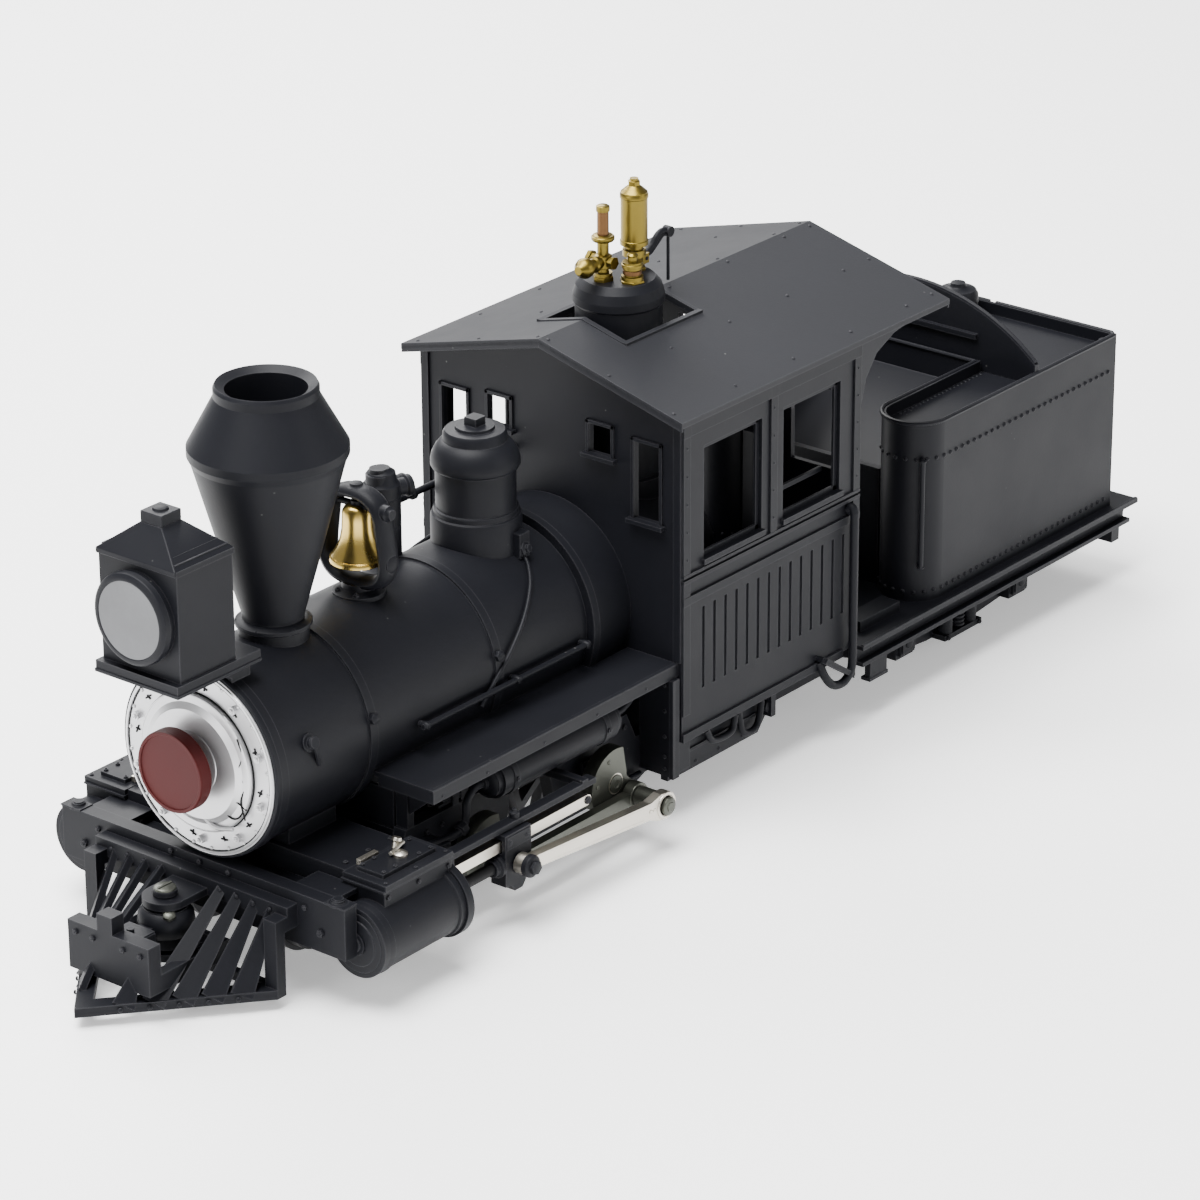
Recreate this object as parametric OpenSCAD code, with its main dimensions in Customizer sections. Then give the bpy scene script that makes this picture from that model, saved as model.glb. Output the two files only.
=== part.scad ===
// Outside-frame 2-4-4 tank locomotive, O scale on 16.5 mm track.
// X runs along the locomotive with the pilot at -X, +Z is up, Z = 0 is under the wheel flanges.

/* [Overall] */
// Distance from the middle of the model to the pilot tip and to the rear of the deck
half_length = 102.3; // [100:0.1:110]
// Half the width over the roof sheets
roof_half_w = 24.4; // [23.5:0.1:25.5]
// Half the width over the cab sides
cab_half_w = 22.6; // [22.2:0.1:22.8]

/* [Boiler] */
// Radius of the boiler and smokebox
boiler_r = 13; // [12.5:0.1:13.2]
// Height of the boiler's axis
boiler_z = 28.3; // [28:0.1:29]
// Front face of the smokebox shell
smokebox_x = -77.2; // [-78:0.1:-76.5]
// Start of the larger firebox wrapper
wrapper_x = -16; // [-17:0.1:-14]

/* [Chimney, domes and lamp] */
// Chimney position along the boiler
stack_x = -63.4; // [-65:0.1:-62]
// Height of the chimney rim
stack_top_z = 75.1; // [72:0.1:78]
// Widest radius of the diamond
stack_max_r = 10.35; // [9:0.05:11]
// Sand dome position
sand_dome_x = -23.3; // [-25:0.1:-22]
// Steam dome position
steam_dome_x = 7.2; // [6.8:0.1:7.8]
// Bell position
bell_x = -47; // [-48:0.1:-45]
// Front face of the headlight case
lamp_x = -88.6; // [-89:0.1:-87]

/* [Running gear] */
// Radius over the driving wheel flanges, and height of the driving axles
driver_r = 9.2; // [8.8:0.1:9.4]
// Main driving axle position
main_x = -19.6; // [-20:0.1:-19]
// Distance between the driving axles
wheelbase = 26; // [25:0.1:27]
// Crank throw
throw = 3.7; // [3:0.1:3.8]
// Crank angle of the left side at rest, in degrees above horizontal towards the rear
crank_angle = -40; // [-60:1:-20]
// Main rod length between centres
main_rod_l = 29; // [28.5:0.1:29.5]
// Radius over the carrying wheel flanges
carrier_r = 5.6; // [5:0.1:5.7]
// Pilot truck axle position
pilot_axle_x = -67.5; // [-68:0.1:-67]
// Rear truck centre
truck_x = 63.5; // [62:0.1:65]
// Half the rear truck wheelbase
truck_half_base = 14.3; // [13.5:0.1:14.5]
// Distance between the inner faces of a pair of wheels
back_to_back = 14.5; // [14.2:0.1:14.6]
// Running clearance round axles, pins and piston rods
run_gap = 0.06; // [0.03:0.01:0.09]

/* [Cab and tank] */
// Front face of the cab
cab_x0 = -7.7; // [-8:0.1:-7.5]
// Rear face of the cab
cab_x1 = 32.1; // [31.5:0.1:32.5]
// Lower edge of the cab sides
cab_z0 = 11.4; // [11:0.1:12]
// Height of the roof ridge
ridge_z = 65.2; // [64.5:0.1:66]
// Height of the roof eaves
eave_z = 58.9; // [58.5:0.1:59.5]
// Top of the deck
deck_z = 12; // [11.9:0.1:12.2]
// Half the width of the deck
deck_half_w = 24; // [23.5:0.1:24.3]
// Half the width of the tank
tank_half_w = 22.2; // [21.8:0.1:22.4]
// Height of the tank rim
tank_z = 39.5; // [38:0.1:41]
// Rear face of the tank
tank_x1 = 97.4; // [96:0.1:98]
// Front of the tank legs
tank_x0 = 48.5; // [48:0.1:50]

/* [Hidden] */
$fn = 48;
black = "#1d1d1f";
nickel = "#c9c7c0";
axle_r = 1.5;
small_axle_r = 1.0;
pin_r = 1.15;
wheel_y0 = back_to_back / 2;
wheel_w = 2.6;
flange_w = 0.75;
flange_h = 0.7;
frame_y0 = 14.5;
frame_y1 = 16.5;
crank_y0 = 18.6;
crank_y1 = 20.7;
side_rod_y = [21.0, 22.4];
guide_y = [23.0, 24.6];
cheek_y = [24.8, 25.4];
main_rod_y = [25.7, 27.1];
cyl_y = 24;
front_x = main_x - wheelbase;
angle_left = crank_angle;
angle_right = crank_angle + 90;
function pin_x(a) = main_x + throw * cos(a);
function pin_z(a) = driver_r + throw * sin(a);
function wrist_x(a) = pin_x(a) - sqrt(pow(main_rod_l, 2) - pow(throw * sin(a), 2));
roof_slope = (ridge_z - eave_z) / roof_half_w;
roof_t = 0.8;
roof_x0 = -10;
roof_x1 = 50.7;
hatch_x = [0, 15.1];
hatch_y = 7;
board_z = 22.3;
board_t = 0.7;
board_y1 = 22;
cyl_x = [-74.6, -60.3];
cyl_r = 4.7;
cover_r = 5.3;
cover_t = 1.2;
chest_x = [-72.6, -59.6];
chest_y = 26;
leg_r = 4.95;
leg_y = tank_half_w - leg_r;
beam_x = [-78.6, -76.4];
bands = [smokebox_x + 0.8, -59.4, -34.5];
band_t = 0.3;

// ---- building blocks ----

// A box between two corners
module box(x, y, z)
    translate([x[0], y[0], z[0]]) cube([x[1] - x[0], y[1] - y[0], z[1] - z[0]]);

// A cylinder along X
module xcyl(r, x, y, z)
    translate([x[0], y, z]) rotate([0, 90, 0]) cylinder(r = r, h = x[1] - x[0]);

// A cone along X
module xcone(r0, r1, x, y, z)
    translate([x[0], y, z]) rotate([0, 90, 0]) cylinder(r1 = r0, r2 = r1, h = x[1] - x[0]);

// A cylinder along Y
module ycyl(r, x, y, z)
    translate([x, y[1], z]) rotate([90, 0, 0]) cylinder(r = r, h = y[1] - y[0]);

// A cylinder along Z
module zcyl(r, x, y, z)
    translate([x, y, z[0]]) cylinder(r = r, h = z[1] - z[0]);

// An outline in X and Z, extruded along Y
module xz(y)
    translate([0, y[1], 0]) rotate([90, 0, 0]) linear_extrude(y[1] - y[0]) children();

// An outline in Y and Z, extruded along X
module yz(x)
    translate([x[0], 0, 0]) rotate([90, 0, 90]) linear_extrude(x[1] - x[0]) children();

// The same shape on the right side (+Y) or, with side = -1, on the left side
module on_side(side) mirror([0, side < 0 ? 1 : 0, 0]) children();

// The same shape on both sides
module both_sides() for (side = [-1, 1]) on_side(side) children();

// The room taken by the boiler and its bands, a hair larger
module boiler_room() {
    xcyl(boiler_r + 0.02, [smokebox_x - 2, wrapper_x], 0, boiler_z);
    for (x = bands) xcyl(boiler_r + band_t + 0.02, [x - 0.72, x + 0.72], 0, boiler_z);
    xcyl(boiler_r + 1.27, [wrapper_x - 0.02, cab_x0], 0, boiler_z);
}

// ---- frame ----

module frame_plate() difference() {
    xz([frame_y0, frame_y1]) polygon([[beam_x[1], 8.2], [-58, 8.2], [-55, 4.6], [-10, 4.6], [-8, 5.4],
        [cab_x1, 5.4], [cab_x1, cab_z0], [-10, cab_z0], [-12, 15.5], [-57.5, 15.5], [-58.5, 12.4],
        [beam_x[1], 12.4]]);
    for (x = [main_x, front_x]) ycyl(axle_r + run_gap, x, [frame_y0 - 1, frame_y1 + 1], driver_r);
    xz([frame_y0 - 1, frame_y1 + 1]) polygon([[-38, 6.5], [-27, 6.5], [-28.5, 13], [-36.5, 13]]);
}

module frame_left() color(black) on_side(-1) frame_plate();
module frame_right() color(black) on_side(1) frame_plate();

module cylinder_saddle() color(black) difference() {
    union() {
        box([-72, -61], [-19, 19], [12.4, 16.3]);
        box([-71, -62], [-8.5, 8.5], [16.3, 20]);
        box([-57.5, -56.5], [-frame_y0, frame_y0], [12.4, 15]);
        box([-72, -56.5], [-6.8, 6.8], [12.4, 14.2]);
    }
    boiler_room();
    zcyl(1.1 + run_gap, -59, 0, [12, 15]);
}

module pilot_beam() color(black) {
    box(beam_x, [-24.6, 24.6], [7.8, 15]);
    both_sides() {
        box([beam_x[1], beam_x[1] + 2], [12.2, frame_y0], [8.2, 12.4]);
        zcyl(0.7, -77.5, 22.6, [15, 15.7]);
    }
}

pilot_tip = [-half_length, 0];
pilot_rear = [-82.8, 16.7];
// A point on the pilot's base bar, u = 0 at the tip and 1 at the rear corner
function base_point(u) = pilot_tip * (1 - u) + pilot_rear * u;
board_n = 5;
board_w = [3, 1.2];
pilot_z = [1.6, 2.9];
pilot_dir = (pilot_rear - pilot_tip) / norm(pilot_rear - pilot_tip);
drawbar_x = -85.2;
// The foot of the i-th board on one side
function board_foot(i) = [base_point(0.225 + 0.145 * i)[0] + 0.6, base_point(0.225 + 0.145 * i)[1], 2.4];

// A tapered board standing from a to b, its width along the pilot's base bar
module board(a, b) {
    l = norm(b - a);
    v = (b - a) / l;
    c = cross(v, [pilot_dir[0], pilot_dir[1], 0]);
    n = c / norm(c);
    t = cross(n, v);
    multmatrix([[t[0], n[0], v[0], a[0]], [t[1], n[1], v[1], a[1]], [t[2], n[2], v[2], a[2]],
        [0, 0, 0, 1]])
        xz([-0.45, 0.45]) polygon([[-board_w[0] / 2, 0], [board_w[0] / 2, 0], [board_w[1] / 2, l],
            [-board_w[1] / 2, l]]);
}

module pilot() color(black) {
    difference() {
        union() {
            both_sides() {
                for (i = [1 : board_n - 1])
                    board(board_foot(i), [-79.6, 2.2 + 2.85 * i, 13]);
                board(board_foot(0), [-94.6, 3.5, 6]);
                translate([0, 0, pilot_z[0]]) linear_extrude(pilot_z[1] - pilot_z[0])
                    polygon([[-half_length, 0], pilot_rear, [-81.2, 16.7], [-81.2, 14.6], [-98.8, 0]]);
                box([-82.8, -81.2], [14.6, 16.7], [pilot_z[0], 12.4]);
                box([-81.2, beam_x[0]], [14.6, 16.7], [10.4, 12.4]);
                box([-94, -81.4], [5.4, 7], [4, 6.4]);
            }
            box([-80.6, beam_x[0]], [-16.7, 16.7], [11.2, 13.6]);
            box([-82.4, -81.2], [-15, 15], pilot_z);
            box([-82, -81], [-7, 7], [pilot_z[0], 6.4]);
            box([-95.8, -93.6], [-7, 7], [4, 10.8]);
            box([drawbar_x, -81], [-3, 3], [4, 5]);
            box([drawbar_x, beam_x[0]], [-3, 3], [11.2, 12.2]);
            zcyl(3, drawbar_x, 0, [4, 5]);
            zcyl(3, drawbar_x, 0, [11.2, 12.2]);
        }
        zcyl(0.9 + run_gap, drawbar_x, 0, [3, 13]);
    }
    box([-95.8, -93.6], [-0.8, 1.8], [10.8, 13.2]);
}

module front_coupler() color(black) {
    zcyl(0.9, drawbar_x, 0, [3.4, 12.4]);
    zcyl(1.6, drawbar_x, 0, [12.4, 13.1]);
    difference() {
        union() {
            zcyl(2.9, drawbar_x, 0, [5.6, 10.8]);
            box([-89.6, drawbar_x], [-1, 1], [6.9, 9.1]);
            box([-92.6, -89.6], [-2.2, 2.2], [6.6, 9.4]);
        }
        box([-93, -90.6], [-1.2, 1.2], [7.4, 8.6]);
    }
    zcyl(0.5, -91.7, 0, [6.2, 10]);
}

module rear_coupler() color(black) {
    zcyl(0.9, 91, 0, [5, 10.8]);
    difference() {
        union() {
            zcyl(2.2, 91, 0, [5.6, 8.4]);
            box([91, 98.6], [-1, 1], [6, 8]);
            box([98.6, half_length], [-2.2, 2.2], [5.7, 8.3]);
        }
        box([99.8, 103], [-1.2, 1.2], [6.4, 7.6]);
    }
    zcyl(0.5, 101, 0, [5.4, 8.9]);
}

// ---- boards, tanks of air and ash pan ----

module running_boards() color(black) both_sides() {
    difference() {
        box([-58.3, cab_x0], [11.9, board_y1], [board_z, board_z + board_t]);
        boiler_room();
        box([-10.22, cab_x0], [0, 12.92], [12, 28]);
    }
    box([-58.3, cab_x0], [board_y1 - 0.7, board_y1], [board_z - 1.2, board_z]);
    for (x = [-56.5, -47.6, -14.6])
        box([x - 0.6, x + 0.6], [frame_y0, frame_y1], [15.5, board_z]);
    box([-58.3, -57.3], [12.6, board_y1 - 0.7], [board_z - 1.2, board_z]);
}

reservoir = [-44, -18.6];
module air_reservoirs() color(black) both_sides() {
    xcyl(2.7, [reservoir[0] + 0.9, reservoir[1] - 0.9], 18.6, 18.1);
    xcyl(2.3, reservoir, 18.6, 18.1);
    for (x = [reservoir[0] + 3.2, reservoir[1] - 3.2]) {
        xcyl(2.85, [x - 0.5, x + 0.5], 18.6, 18.1);
        box([x - 0.5, x + 0.5], [17.8, 19.4], [20, board_z]);
    }
}

module ash_pan() color(black) {
    both_sides() {
        xz([19.4, 20.6]) polygon([[-8.2, 5.2], [12, 5.2], [14, 7.5], [14, cab_z0], [-8.2, cab_z0]]);
        box([-9.2, -8.2], [frame_y1, cab_half_w], [6.5, board_z - 1.2]);
        xz([21.4, 22.4]) polygon([[-8.2, 7], [-5.6, 7], [-5.6, cab_z0], [-8.2, cab_z0]]);
        box([13, 14], [17.4, 22.2], [7.6, cab_z0]);
    }
    box([-8, 12], [-frame_y0, frame_y0], [5.6, 11.2]);
}

// ---- deck ----

module deck() color(black) {
    box([cab_x1, half_length], [-deck_half_w, deck_half_w], [deck_z - 0.6, deck_z]);
    both_sides() {
        box([cab_x1, 100.2], [22.2, 22.8], [8.9, deck_z - 0.6]);
        box([cab_x1, 100.2], [22.8, deck_half_w], [8.9, 9.5]);
        box([cab_x1, 98.2], [2.4, 4], [9.5, deck_z - 0.6]);
        box([98.2, 100.2], [4.2, 22.2], [5.6, deck_z - 0.6]);
    }
    difference() {
        union() {
            box([truck_x - 4, truck_x + 4], [-22.2, 22.2], [9.6, deck_z - 0.6]);
            box([88, 94], [-4.2, 4.2], [9.4, deck_z - 0.6]);
        }
        zcyl(1.4 + run_gap, truck_x, 0, [9, 11]);
        zcyl(0.9 + run_gap, 91, 0, [9, 11]);
    }
    box([cab_x1, cab_x1 + 1.6], [-22.2, 22.2], [9.6, deck_z - 0.6]);
}

// ---- cylinders, guides and rods ----

module cylinder_casting() difference() {
    union() {
        xcyl(cyl_r, cyl_x, cyl_y, driver_r);
        xcyl(cyl_r + 0.1, [cyl_x[0] - cover_t, cyl_x[0]], cyl_y, driver_r);
        xcyl(1.6, [cyl_x[0] - cover_t - 0.5, cyl_x[0]], cyl_y, driver_r);
        xcyl(cover_r, [cyl_x[1], cyl_x[1] + cover_t], cyl_y, driver_r);
        xcyl(1.6, [cyl_x[1], cyl_x[1] + 2.6], cyl_y, driver_r);
        box(chest_x, [19, chest_y], [driver_r, 15.6]);
        box(chest_x, [19, chest_y + 0.25], [15.6, 16.4]);
        box([chest_x[0] + 1.4, chest_x[1] - 1.4], [20.2, chest_y - 1.4], [16.4, 17]);
    }
    xcyl(4 + run_gap, [-74, -61.6], cyl_y, driver_r);
    xcyl(0.8 + run_gap, [-62, -57], cyl_y, driver_r);
}

module cylinder_left() color(black) on_side(-1) cylinder_casting();
module cylinder_right() color(black) on_side(1) cylinder_casting();

module guide_bar(x1, z) box([cyl_x[1] + cover_t, x1], guide_y, z);

module upper_guides() color(black) both_sides() {
    guide_bar(-28.6, [13.9, 14.7]);
    box([-31.4, -30.2], [frame_y1, guide_y[1]], [14.1, 15.1]);
}

module lower_guides() color(nickel) both_sides() {
    guide_bar(-30.4, [11.3, 12.8]);
    ycyl(0.75, -30.4, guide_y, 12.05);
}

// Piston head and rod, w is the wrist pin's place along X
module piston(w) {
    xcyl(4, [w - 19.4, w - 17.4], cyl_y, driver_r);
    xcyl(0.8, [w - 17.4, w - 2.6], cyl_y, driver_r);
}

module piston_left() color(nickel) on_side(-1) piston(wrist_x(angle_left));
module piston_right() color(nickel) on_side(1) piston(wrist_x(angle_right));

module crosshead(w) {
    box([w - 2.6, w + 2.6], cheek_y, [6.4, 13.7]);
    box([w - 2.6, w + 2.6], [22.9, cheek_y[0]], [6.4, 11.1]);
    box([w - 2.6, w + 2.6], [guide_y[0], cheek_y[0]], [13, 13.7]);
    xz([22.9, cheek_y[1]]) polygon([[w - 1.6, 6.4], [w - 0.8, 5.3], [w + 0.8, 5.3], [w + 1.6, 6.4]]);
}

module crosshead_left() color(black) on_side(-1) crosshead(wrist_x(angle_left));
module crosshead_right() color(black) on_side(1) crosshead(wrist_x(angle_right));

module main_rod(a) {
    w = [wrist_x(a), driver_r];
    p = [pin_x(a), pin_z(a)];
    tilt = atan2(p[1] - w[1], p[0] - w[0]);
    difference() {
        union() {
            ycyl(1.45, w[0], main_rod_y, w[1]);
            ycyl(1.95, p[0], main_rod_y, p[1]);
            xz(main_rod_y) translate(w) rotate(tilt) polygon([[0, -0.85], [main_rod_l - 3.4, -1.2],
                [main_rod_l - 1.2, -1.9], [main_rod_l, -1.9], [main_rod_l, 1.9],
                [main_rod_l - 1.2, 1.9], [main_rod_l - 3.4, 1.2], [0, 0.85]]);
            ycyl(0.85, w[0], [main_rod_y[0] - 0.1, main_rod_y[1] + 0.4], w[1]);
        }
        ycyl(pin_r + run_gap, p[0], [25, 28], p[1]);
    }
}

module main_rod_left() color(nickel) on_side(-1) main_rod(angle_left);
module main_rod_right() color(nickel) on_side(1) main_rod(angle_right);

module side_rod(a) {
    difference() {
        union() {
            for (x = [pin_x(a), pin_x(a) - wheelbase]) ycyl(1.9, x, side_rod_y, pin_z(a));
            box([pin_x(a) - wheelbase, pin_x(a)], side_rod_y, [pin_z(a) - 0.85, pin_z(a) + 0.85]);
        }
        for (x = [pin_x(a), pin_x(a) - wheelbase]) ycyl(pin_r + run_gap, x, [20, 23], pin_z(a));
    }
}

module side_rod_left() color(nickel) on_side(-1) side_rod(angle_left);
module side_rod_right() color(nickel) on_side(1) side_rod(angle_right);

// ---- driving wheels ----

module wheel(x, r, spokes) difference() {
    union() {
        ycyl(r, x, [wheel_y0, wheel_y0 + flange_w], r);
        ycyl(r - flange_h, x, [wheel_y0 + flange_w, wheel_y0 + wheel_w], r);
    }
    difference() {
        ycyl(r - flange_h - 1, x, [wheel_y0 - 1, wheel_y0 + 4], r);
        ycyl(r * 0.3, x, [wheel_y0 - 1, wheel_y0 + 4], r);
        for (i = [0 : spokes - 1]) translate([x, 0, r]) rotate([0, 360 * i / spokes, 0])
            box([0, r - 1], [wheel_y0 + 0.5, wheel_y0 + wheel_w - 0.5], [-0.55, 0.55]);
    }
    ycyl(r > 7 ? axle_r : small_axle_r, x, [wheel_y0 - 2, wheel_y0 + 6], r);
}

module driving_axle(x) ycyl(axle_r, x, [-crank_y1, crank_y1], driver_r);

module main_axle() color(nickel) driving_axle(main_x);
module front_axle() color(nickel) driving_axle(front_x);
module main_wheels() color("#3a3a3c") both_sides() wheel(main_x, driver_r, 10);
module front_wheels() color("#3a3a3c") both_sides() wheel(front_x, driver_r, 10);

// Outside crank with its counterweight and pin; pin_end is where the pin stops
module crank(x, a, pin_end) {
    difference() {
        xz([crank_y0, crank_y1]) translate([x, driver_r]) rotate(a) {
            circle(2.4);
            translate([throw, 0]) circle(1.75);
            translate([0, -1.75]) square([throw, 3.5]);
            intersection() {
                circle(5.1);
                polygon([[1.2, 2.2], [-3.6, 6.2], [-8, 3], [-8, -3], [-3.6, -6.2], [1.2, -2.2]]);
            }
        }
        ycyl(axle_r, x, [crank_y0 - 1, crank_y1 + 1], driver_r);
    }
    px = x + throw * cos(a);
    pz = driver_r + throw * sin(a);
    ycyl(pin_r, px, [crank_y1, pin_end], pz);
    if (pin_end > 24) ycyl(1.5, px, [side_rod_y[1] + 0.15, main_rod_y[0] - 0.12], pz);
}

module main_crank_left() color("#6a6e66") on_side(-1) crank(main_x, angle_left, main_rod_y[1] - 0.1);
module main_crank_right() color("#6a6e66") on_side(1) crank(main_x, angle_right, main_rod_y[1] - 0.1);
module front_crank_left() color("#6a6e66") on_side(-1) crank(front_x, angle_left, side_rod_y[1] + 0.2);
module front_crank_right() color("#6a6e66") on_side(1) crank(front_x, angle_right, side_rod_y[1] + 0.2);

// ---- motor and gear ----

gear_r = 4.4;
worm_r = 2.1;
worm_z = driver_r + gear_r + worm_r + 0.15;

module motor() color("#777a7e") difference() {
    union() {
        intersection() {
            box([-42.6, -27], [-6.2, 6.2], [worm_z - 5, worm_z + 5]);
            xcyl(6.6, [-43, -26], 0, worm_z);
        }
        xcyl(2.4, [-27, -26], 0, worm_z);
        both_sides() box([-34.4, -31], [6, frame_y0], [13.2, 15.2]);
    }
    xcyl(0.9 + run_gap, [-30, -20], 0, worm_z);
}

module motor_shaft() color("#b08d3c") {
    xcyl(0.9, [-29, -13.5], 0, worm_z);
    xcyl(worm_r, [-23.6, -15.6], 0, worm_z);
}

module axle_gear() color("#e6e2d4") difference() {
    ycyl(gear_r, main_x, [-1.8, 1.8], driver_r);
    ycyl(axle_r, main_x, [-3, 3], driver_r);
    for (i = [0 : 15]) translate([main_x, 0, driver_r]) rotate([0, 22.5 * i, 0])
        box([gear_r - 0.7, gear_r + 1], [-3, 3], [-0.35, 0.35]);
}

// ---- trucks ----

module wheelset(x, r, axle_end) {
    both_sides() wheel(x, r, 8);
    ycyl(small_axle_r, x, [-axle_end, axle_end], r);
}

module pilot_wheelset() color("#3a3a3c") wheelset(pilot_axle_x, carrier_r, 12.4);
module truck_wheelset_front() color("#3a3a3c")
    wheelset(truck_x - truck_half_base, carrier_r, 17.6);
module truck_wheelset_rear() color("#3a3a3c")
    wheelset(truck_x + truck_half_base, carrier_r, 17.6);

module pilot_truck() color(black) {
    difference() {
        union() {
            both_sides() {
                box([pilot_axle_x - 3, pilot_axle_x + 3], [10.6, 13], [3, 8]);
                box([pilot_axle_x + 1, pilot_axle_x + 8], [10.6, 12], [8, 9.4]);
            }
            box([-60.8, -57.4], [-12, 12], [8, 9.4]);
            zcyl(2.4, -59, 0, [8, 12.2]);
        }
        ycyl(small_axle_r + run_gap, pilot_axle_x, [-12.6, 12.6], carrier_r);
    }
    zcyl(1.1, -59, 0, [12.2, 14.1]);
}

module rear_truck() color(black) {
    difference() {
        union() {
            both_sides() {
                difference() {
                    xz([15.4, 17]) polygon([[44.8, 3.4], [57.5, 2.2], [69.5, 2.2], [82.2, 3.4],
                        [82.2, 7.2], [69.5, 8.6], [57.5, 8.6], [44.8, 7.2]]);
                    for (side = [-1, 1]) xz([14, 18]) translate([truck_x, 0])
                        polygon([[side * 5.2, 3.4], [side * 10.8, 4], [side * 10.8, 6.8],
                            [side * 5.2, 7.4]]);
                }
                for (side = [-1, 1]) {
                    x = truck_x + side * truck_half_base;
                    box([x - 2.1, x + 2.1], [15.4, 19], [3.2, 7.8]);
                    box([x - 1.7, x + 1.7], [19, 19.6], [3.8, 7.2]);
                }
                for (x = [truck_x - 3, truck_x + 3]) zcyl(1.1, x, 18.2, [3, 7.6]);
                box([truck_x - 4.6, truck_x + 4.6], [17, 19.4], [2.2, 3]);
                box([truck_x - 4.6, truck_x + 4.6], [17, 19.4], [7.6, 8.6]);
            }
            box([truck_x - 3.4, truck_x + 3.4], [-15.4, 15.4], [6.6, 9]);
            zcyl(4, truck_x, 0, [9, 9.5]);
        }
        for (side = [-1, 1])
            ycyl(small_axle_r + run_gap, truck_x + side * truck_half_base, [-17.8, 17.8], carrier_r);
    }
    zcyl(1.4, truck_x, 0, [9.5, 10.8]);
}

// ---- boiler ----

module boiler() color(black) difference() {
    union() {
        xcyl(boiler_r, [smokebox_x, wrapper_x], 0, boiler_z);
        for (x = bands) xcyl(boiler_r + band_t, [x - 0.7, x + 0.7], 0, boiler_z);
    }
    xcyl(11.4, [-56, wrapper_x + 1], 0, boiler_z);
    box([-56, wrapper_x + 1], [-10.4, 10.4], [14, 19.2]);
}

backhead_x = 13;
module firebox() color(black) {
    difference() {
        union() {
            xcyl(boiler_r + 0.9, [wrapper_x, cab_x0], 0, boiler_z);
            xcyl(boiler_r + 1.25, [wrapper_x, wrapper_x + 1.3], 0, boiler_z);
            box([-10.2, cab_x0], [-12.9, 12.9], [cab_z0, boiler_z]);
        }
        xcyl(10.6, [wrapper_x - 1, cab_x0 - 2], 0, boiler_z);
        box([wrapper_x - 1, -10.2], [-10.4, 10.4], [10, 19.2]);
    }
    xcyl(12.4, [cab_x0 + 0.8, backhead_x], 0, boiler_z);
    box([cab_x0 + 0.8, backhead_x], [-12.4, 12.4], [12.6, boiler_z]);
    xcyl(2.8, [backhead_x, backhead_x + 0.8], 0, 21);
    for (y = [-5, 0, 5]) xcyl(1.3, [backhead_x, backhead_x + 1], y, 34);
    box([backhead_x, backhead_x + 3], [-0.5, 0.5], [29.4, 30.2]);
}

module smokebox_front() color("#d9d9d7") {
    xcyl(boiler_r - 0.2, [smokebox_x - 0.9, smokebox_x], 0, boiler_z);
    xcyl(9.4, [smokebox_x - 1.5, smokebox_x - 0.9], 0, boiler_z);
    xcone(7.4, 8.6, [smokebox_x - 2.2, smokebox_x - 1.5], 0, boiler_z);
    xcyl(2.6, [-82.5, smokebox_x - 2.2], 0, boiler_z + 0.3);
    for (a = [18 : 36 : 342])
        xcyl(0.55, [smokebox_x - 1.5, smokebox_x - 0.9], 11 * cos(a), boiler_z + 11 * sin(a));
}

module number_plate() color("#8c1f1f") {
    xcyl(5.5, [-83.3, -82.5], 0, boiler_z + 0.3);
}

// Diamond chimney, turned about its axis
module smokestack() color(black) translate([stack_x, 0, 0]) difference() {
    rotate_extrude() polygon([[5.3, stack_top_z - 0.7], [6.5, stack_top_z], [6.75, stack_top_z - 0.5],
        [6.75, stack_top_z - 1.6], [stack_max_r, 66.9], [stack_max_r, 65.8], [9.9, 64.9],
        [6.2, 51.4], [4, 43.6], [4, 42.8], [4.6, 42.4], [4.6, 38], [0, 38], [0, 44.6], [2.6, 44.6],
        [5.3, 54]]);
    translate([-stack_x, 0, 0]) boiler_room();
}

module headlight() color(black) {
    difference() {
        union() {
            box([lamp_x + 1, -77.6], [-6.6, 6.6], [44.1, 58.4]);
            box([lamp_x + 0.8, -77.4], [-6.8, 6.8], [58.4, 59.2]);
            for (i = [0 : 4]) box([lamp_x + 1.2 + 0.75 * i, -77.8 - 0.75 * i],
                [-6.2 + 1.0 * i, 6.2 - 1.0 * i], [59.2 + 0.6 * i, 59.8 + 0.6 * i]);
            box([-84.7, -81.5], [-1.6, 1.6], [62, 64.3]);
            xcyl(6.0, [lamp_x - 0.4, lamp_x + 1], 0, 51.6);
        }
        xcyl(5.2, [lamp_x - 1, lamp_x + 4.5], 0, 51.6);
        xcyl(4, [lamp_x + 4, lamp_x + 8], 0, 51.6);
    }
    difference() {
        union() {
            box([lamp_x, -73.5], [-7, 7], [42.6, 44.1]);
            for (y = [-5, 5]) xz([y - 0.6, y + 0.6])
                polygon([[-81, 42.6], [-74, 42.6], [-74, 38], [-77.4, 38], [-77.4, 41]]);
        }
        xcyl(boiler_r + band_t + 0.02, [smokebox_x - 2.4, -70], 0, boiler_z);
        zcyl(7.4, stack_x, 0, [30, 46]);
    }
}

module headlight_lens() color("#c9ced2") {
    xcyl(5.15, [lamp_x - 0.9, lamp_x + 0.7], 0, 51.6);
}

// A dome, turned about a vertical axis and seated on the boiler
module dome(x, points) difference() {
    translate([x, 0, 0]) rotate_extrude() polygon(points);
    boiler_room();
}

module sand_dome() color(black) {
    dome(sand_dome_x, [[0, 36], [7, 36], [7, 41], [6.2, 42.3], [5.4, 43], [5.4, 51.2], [5.9, 51.6],
        [5.9, 52.6], [5.6, 53.8], [4.6, 55], [4.3, 55.2], [4.3, 56.2], [3.9, 56.6], [0, 56.8]]);
    box([sand_dome_x - 0.9, sand_dome_x + 0.9], [-0.9, 0.9], [56.8, 58.3]);
}

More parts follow.
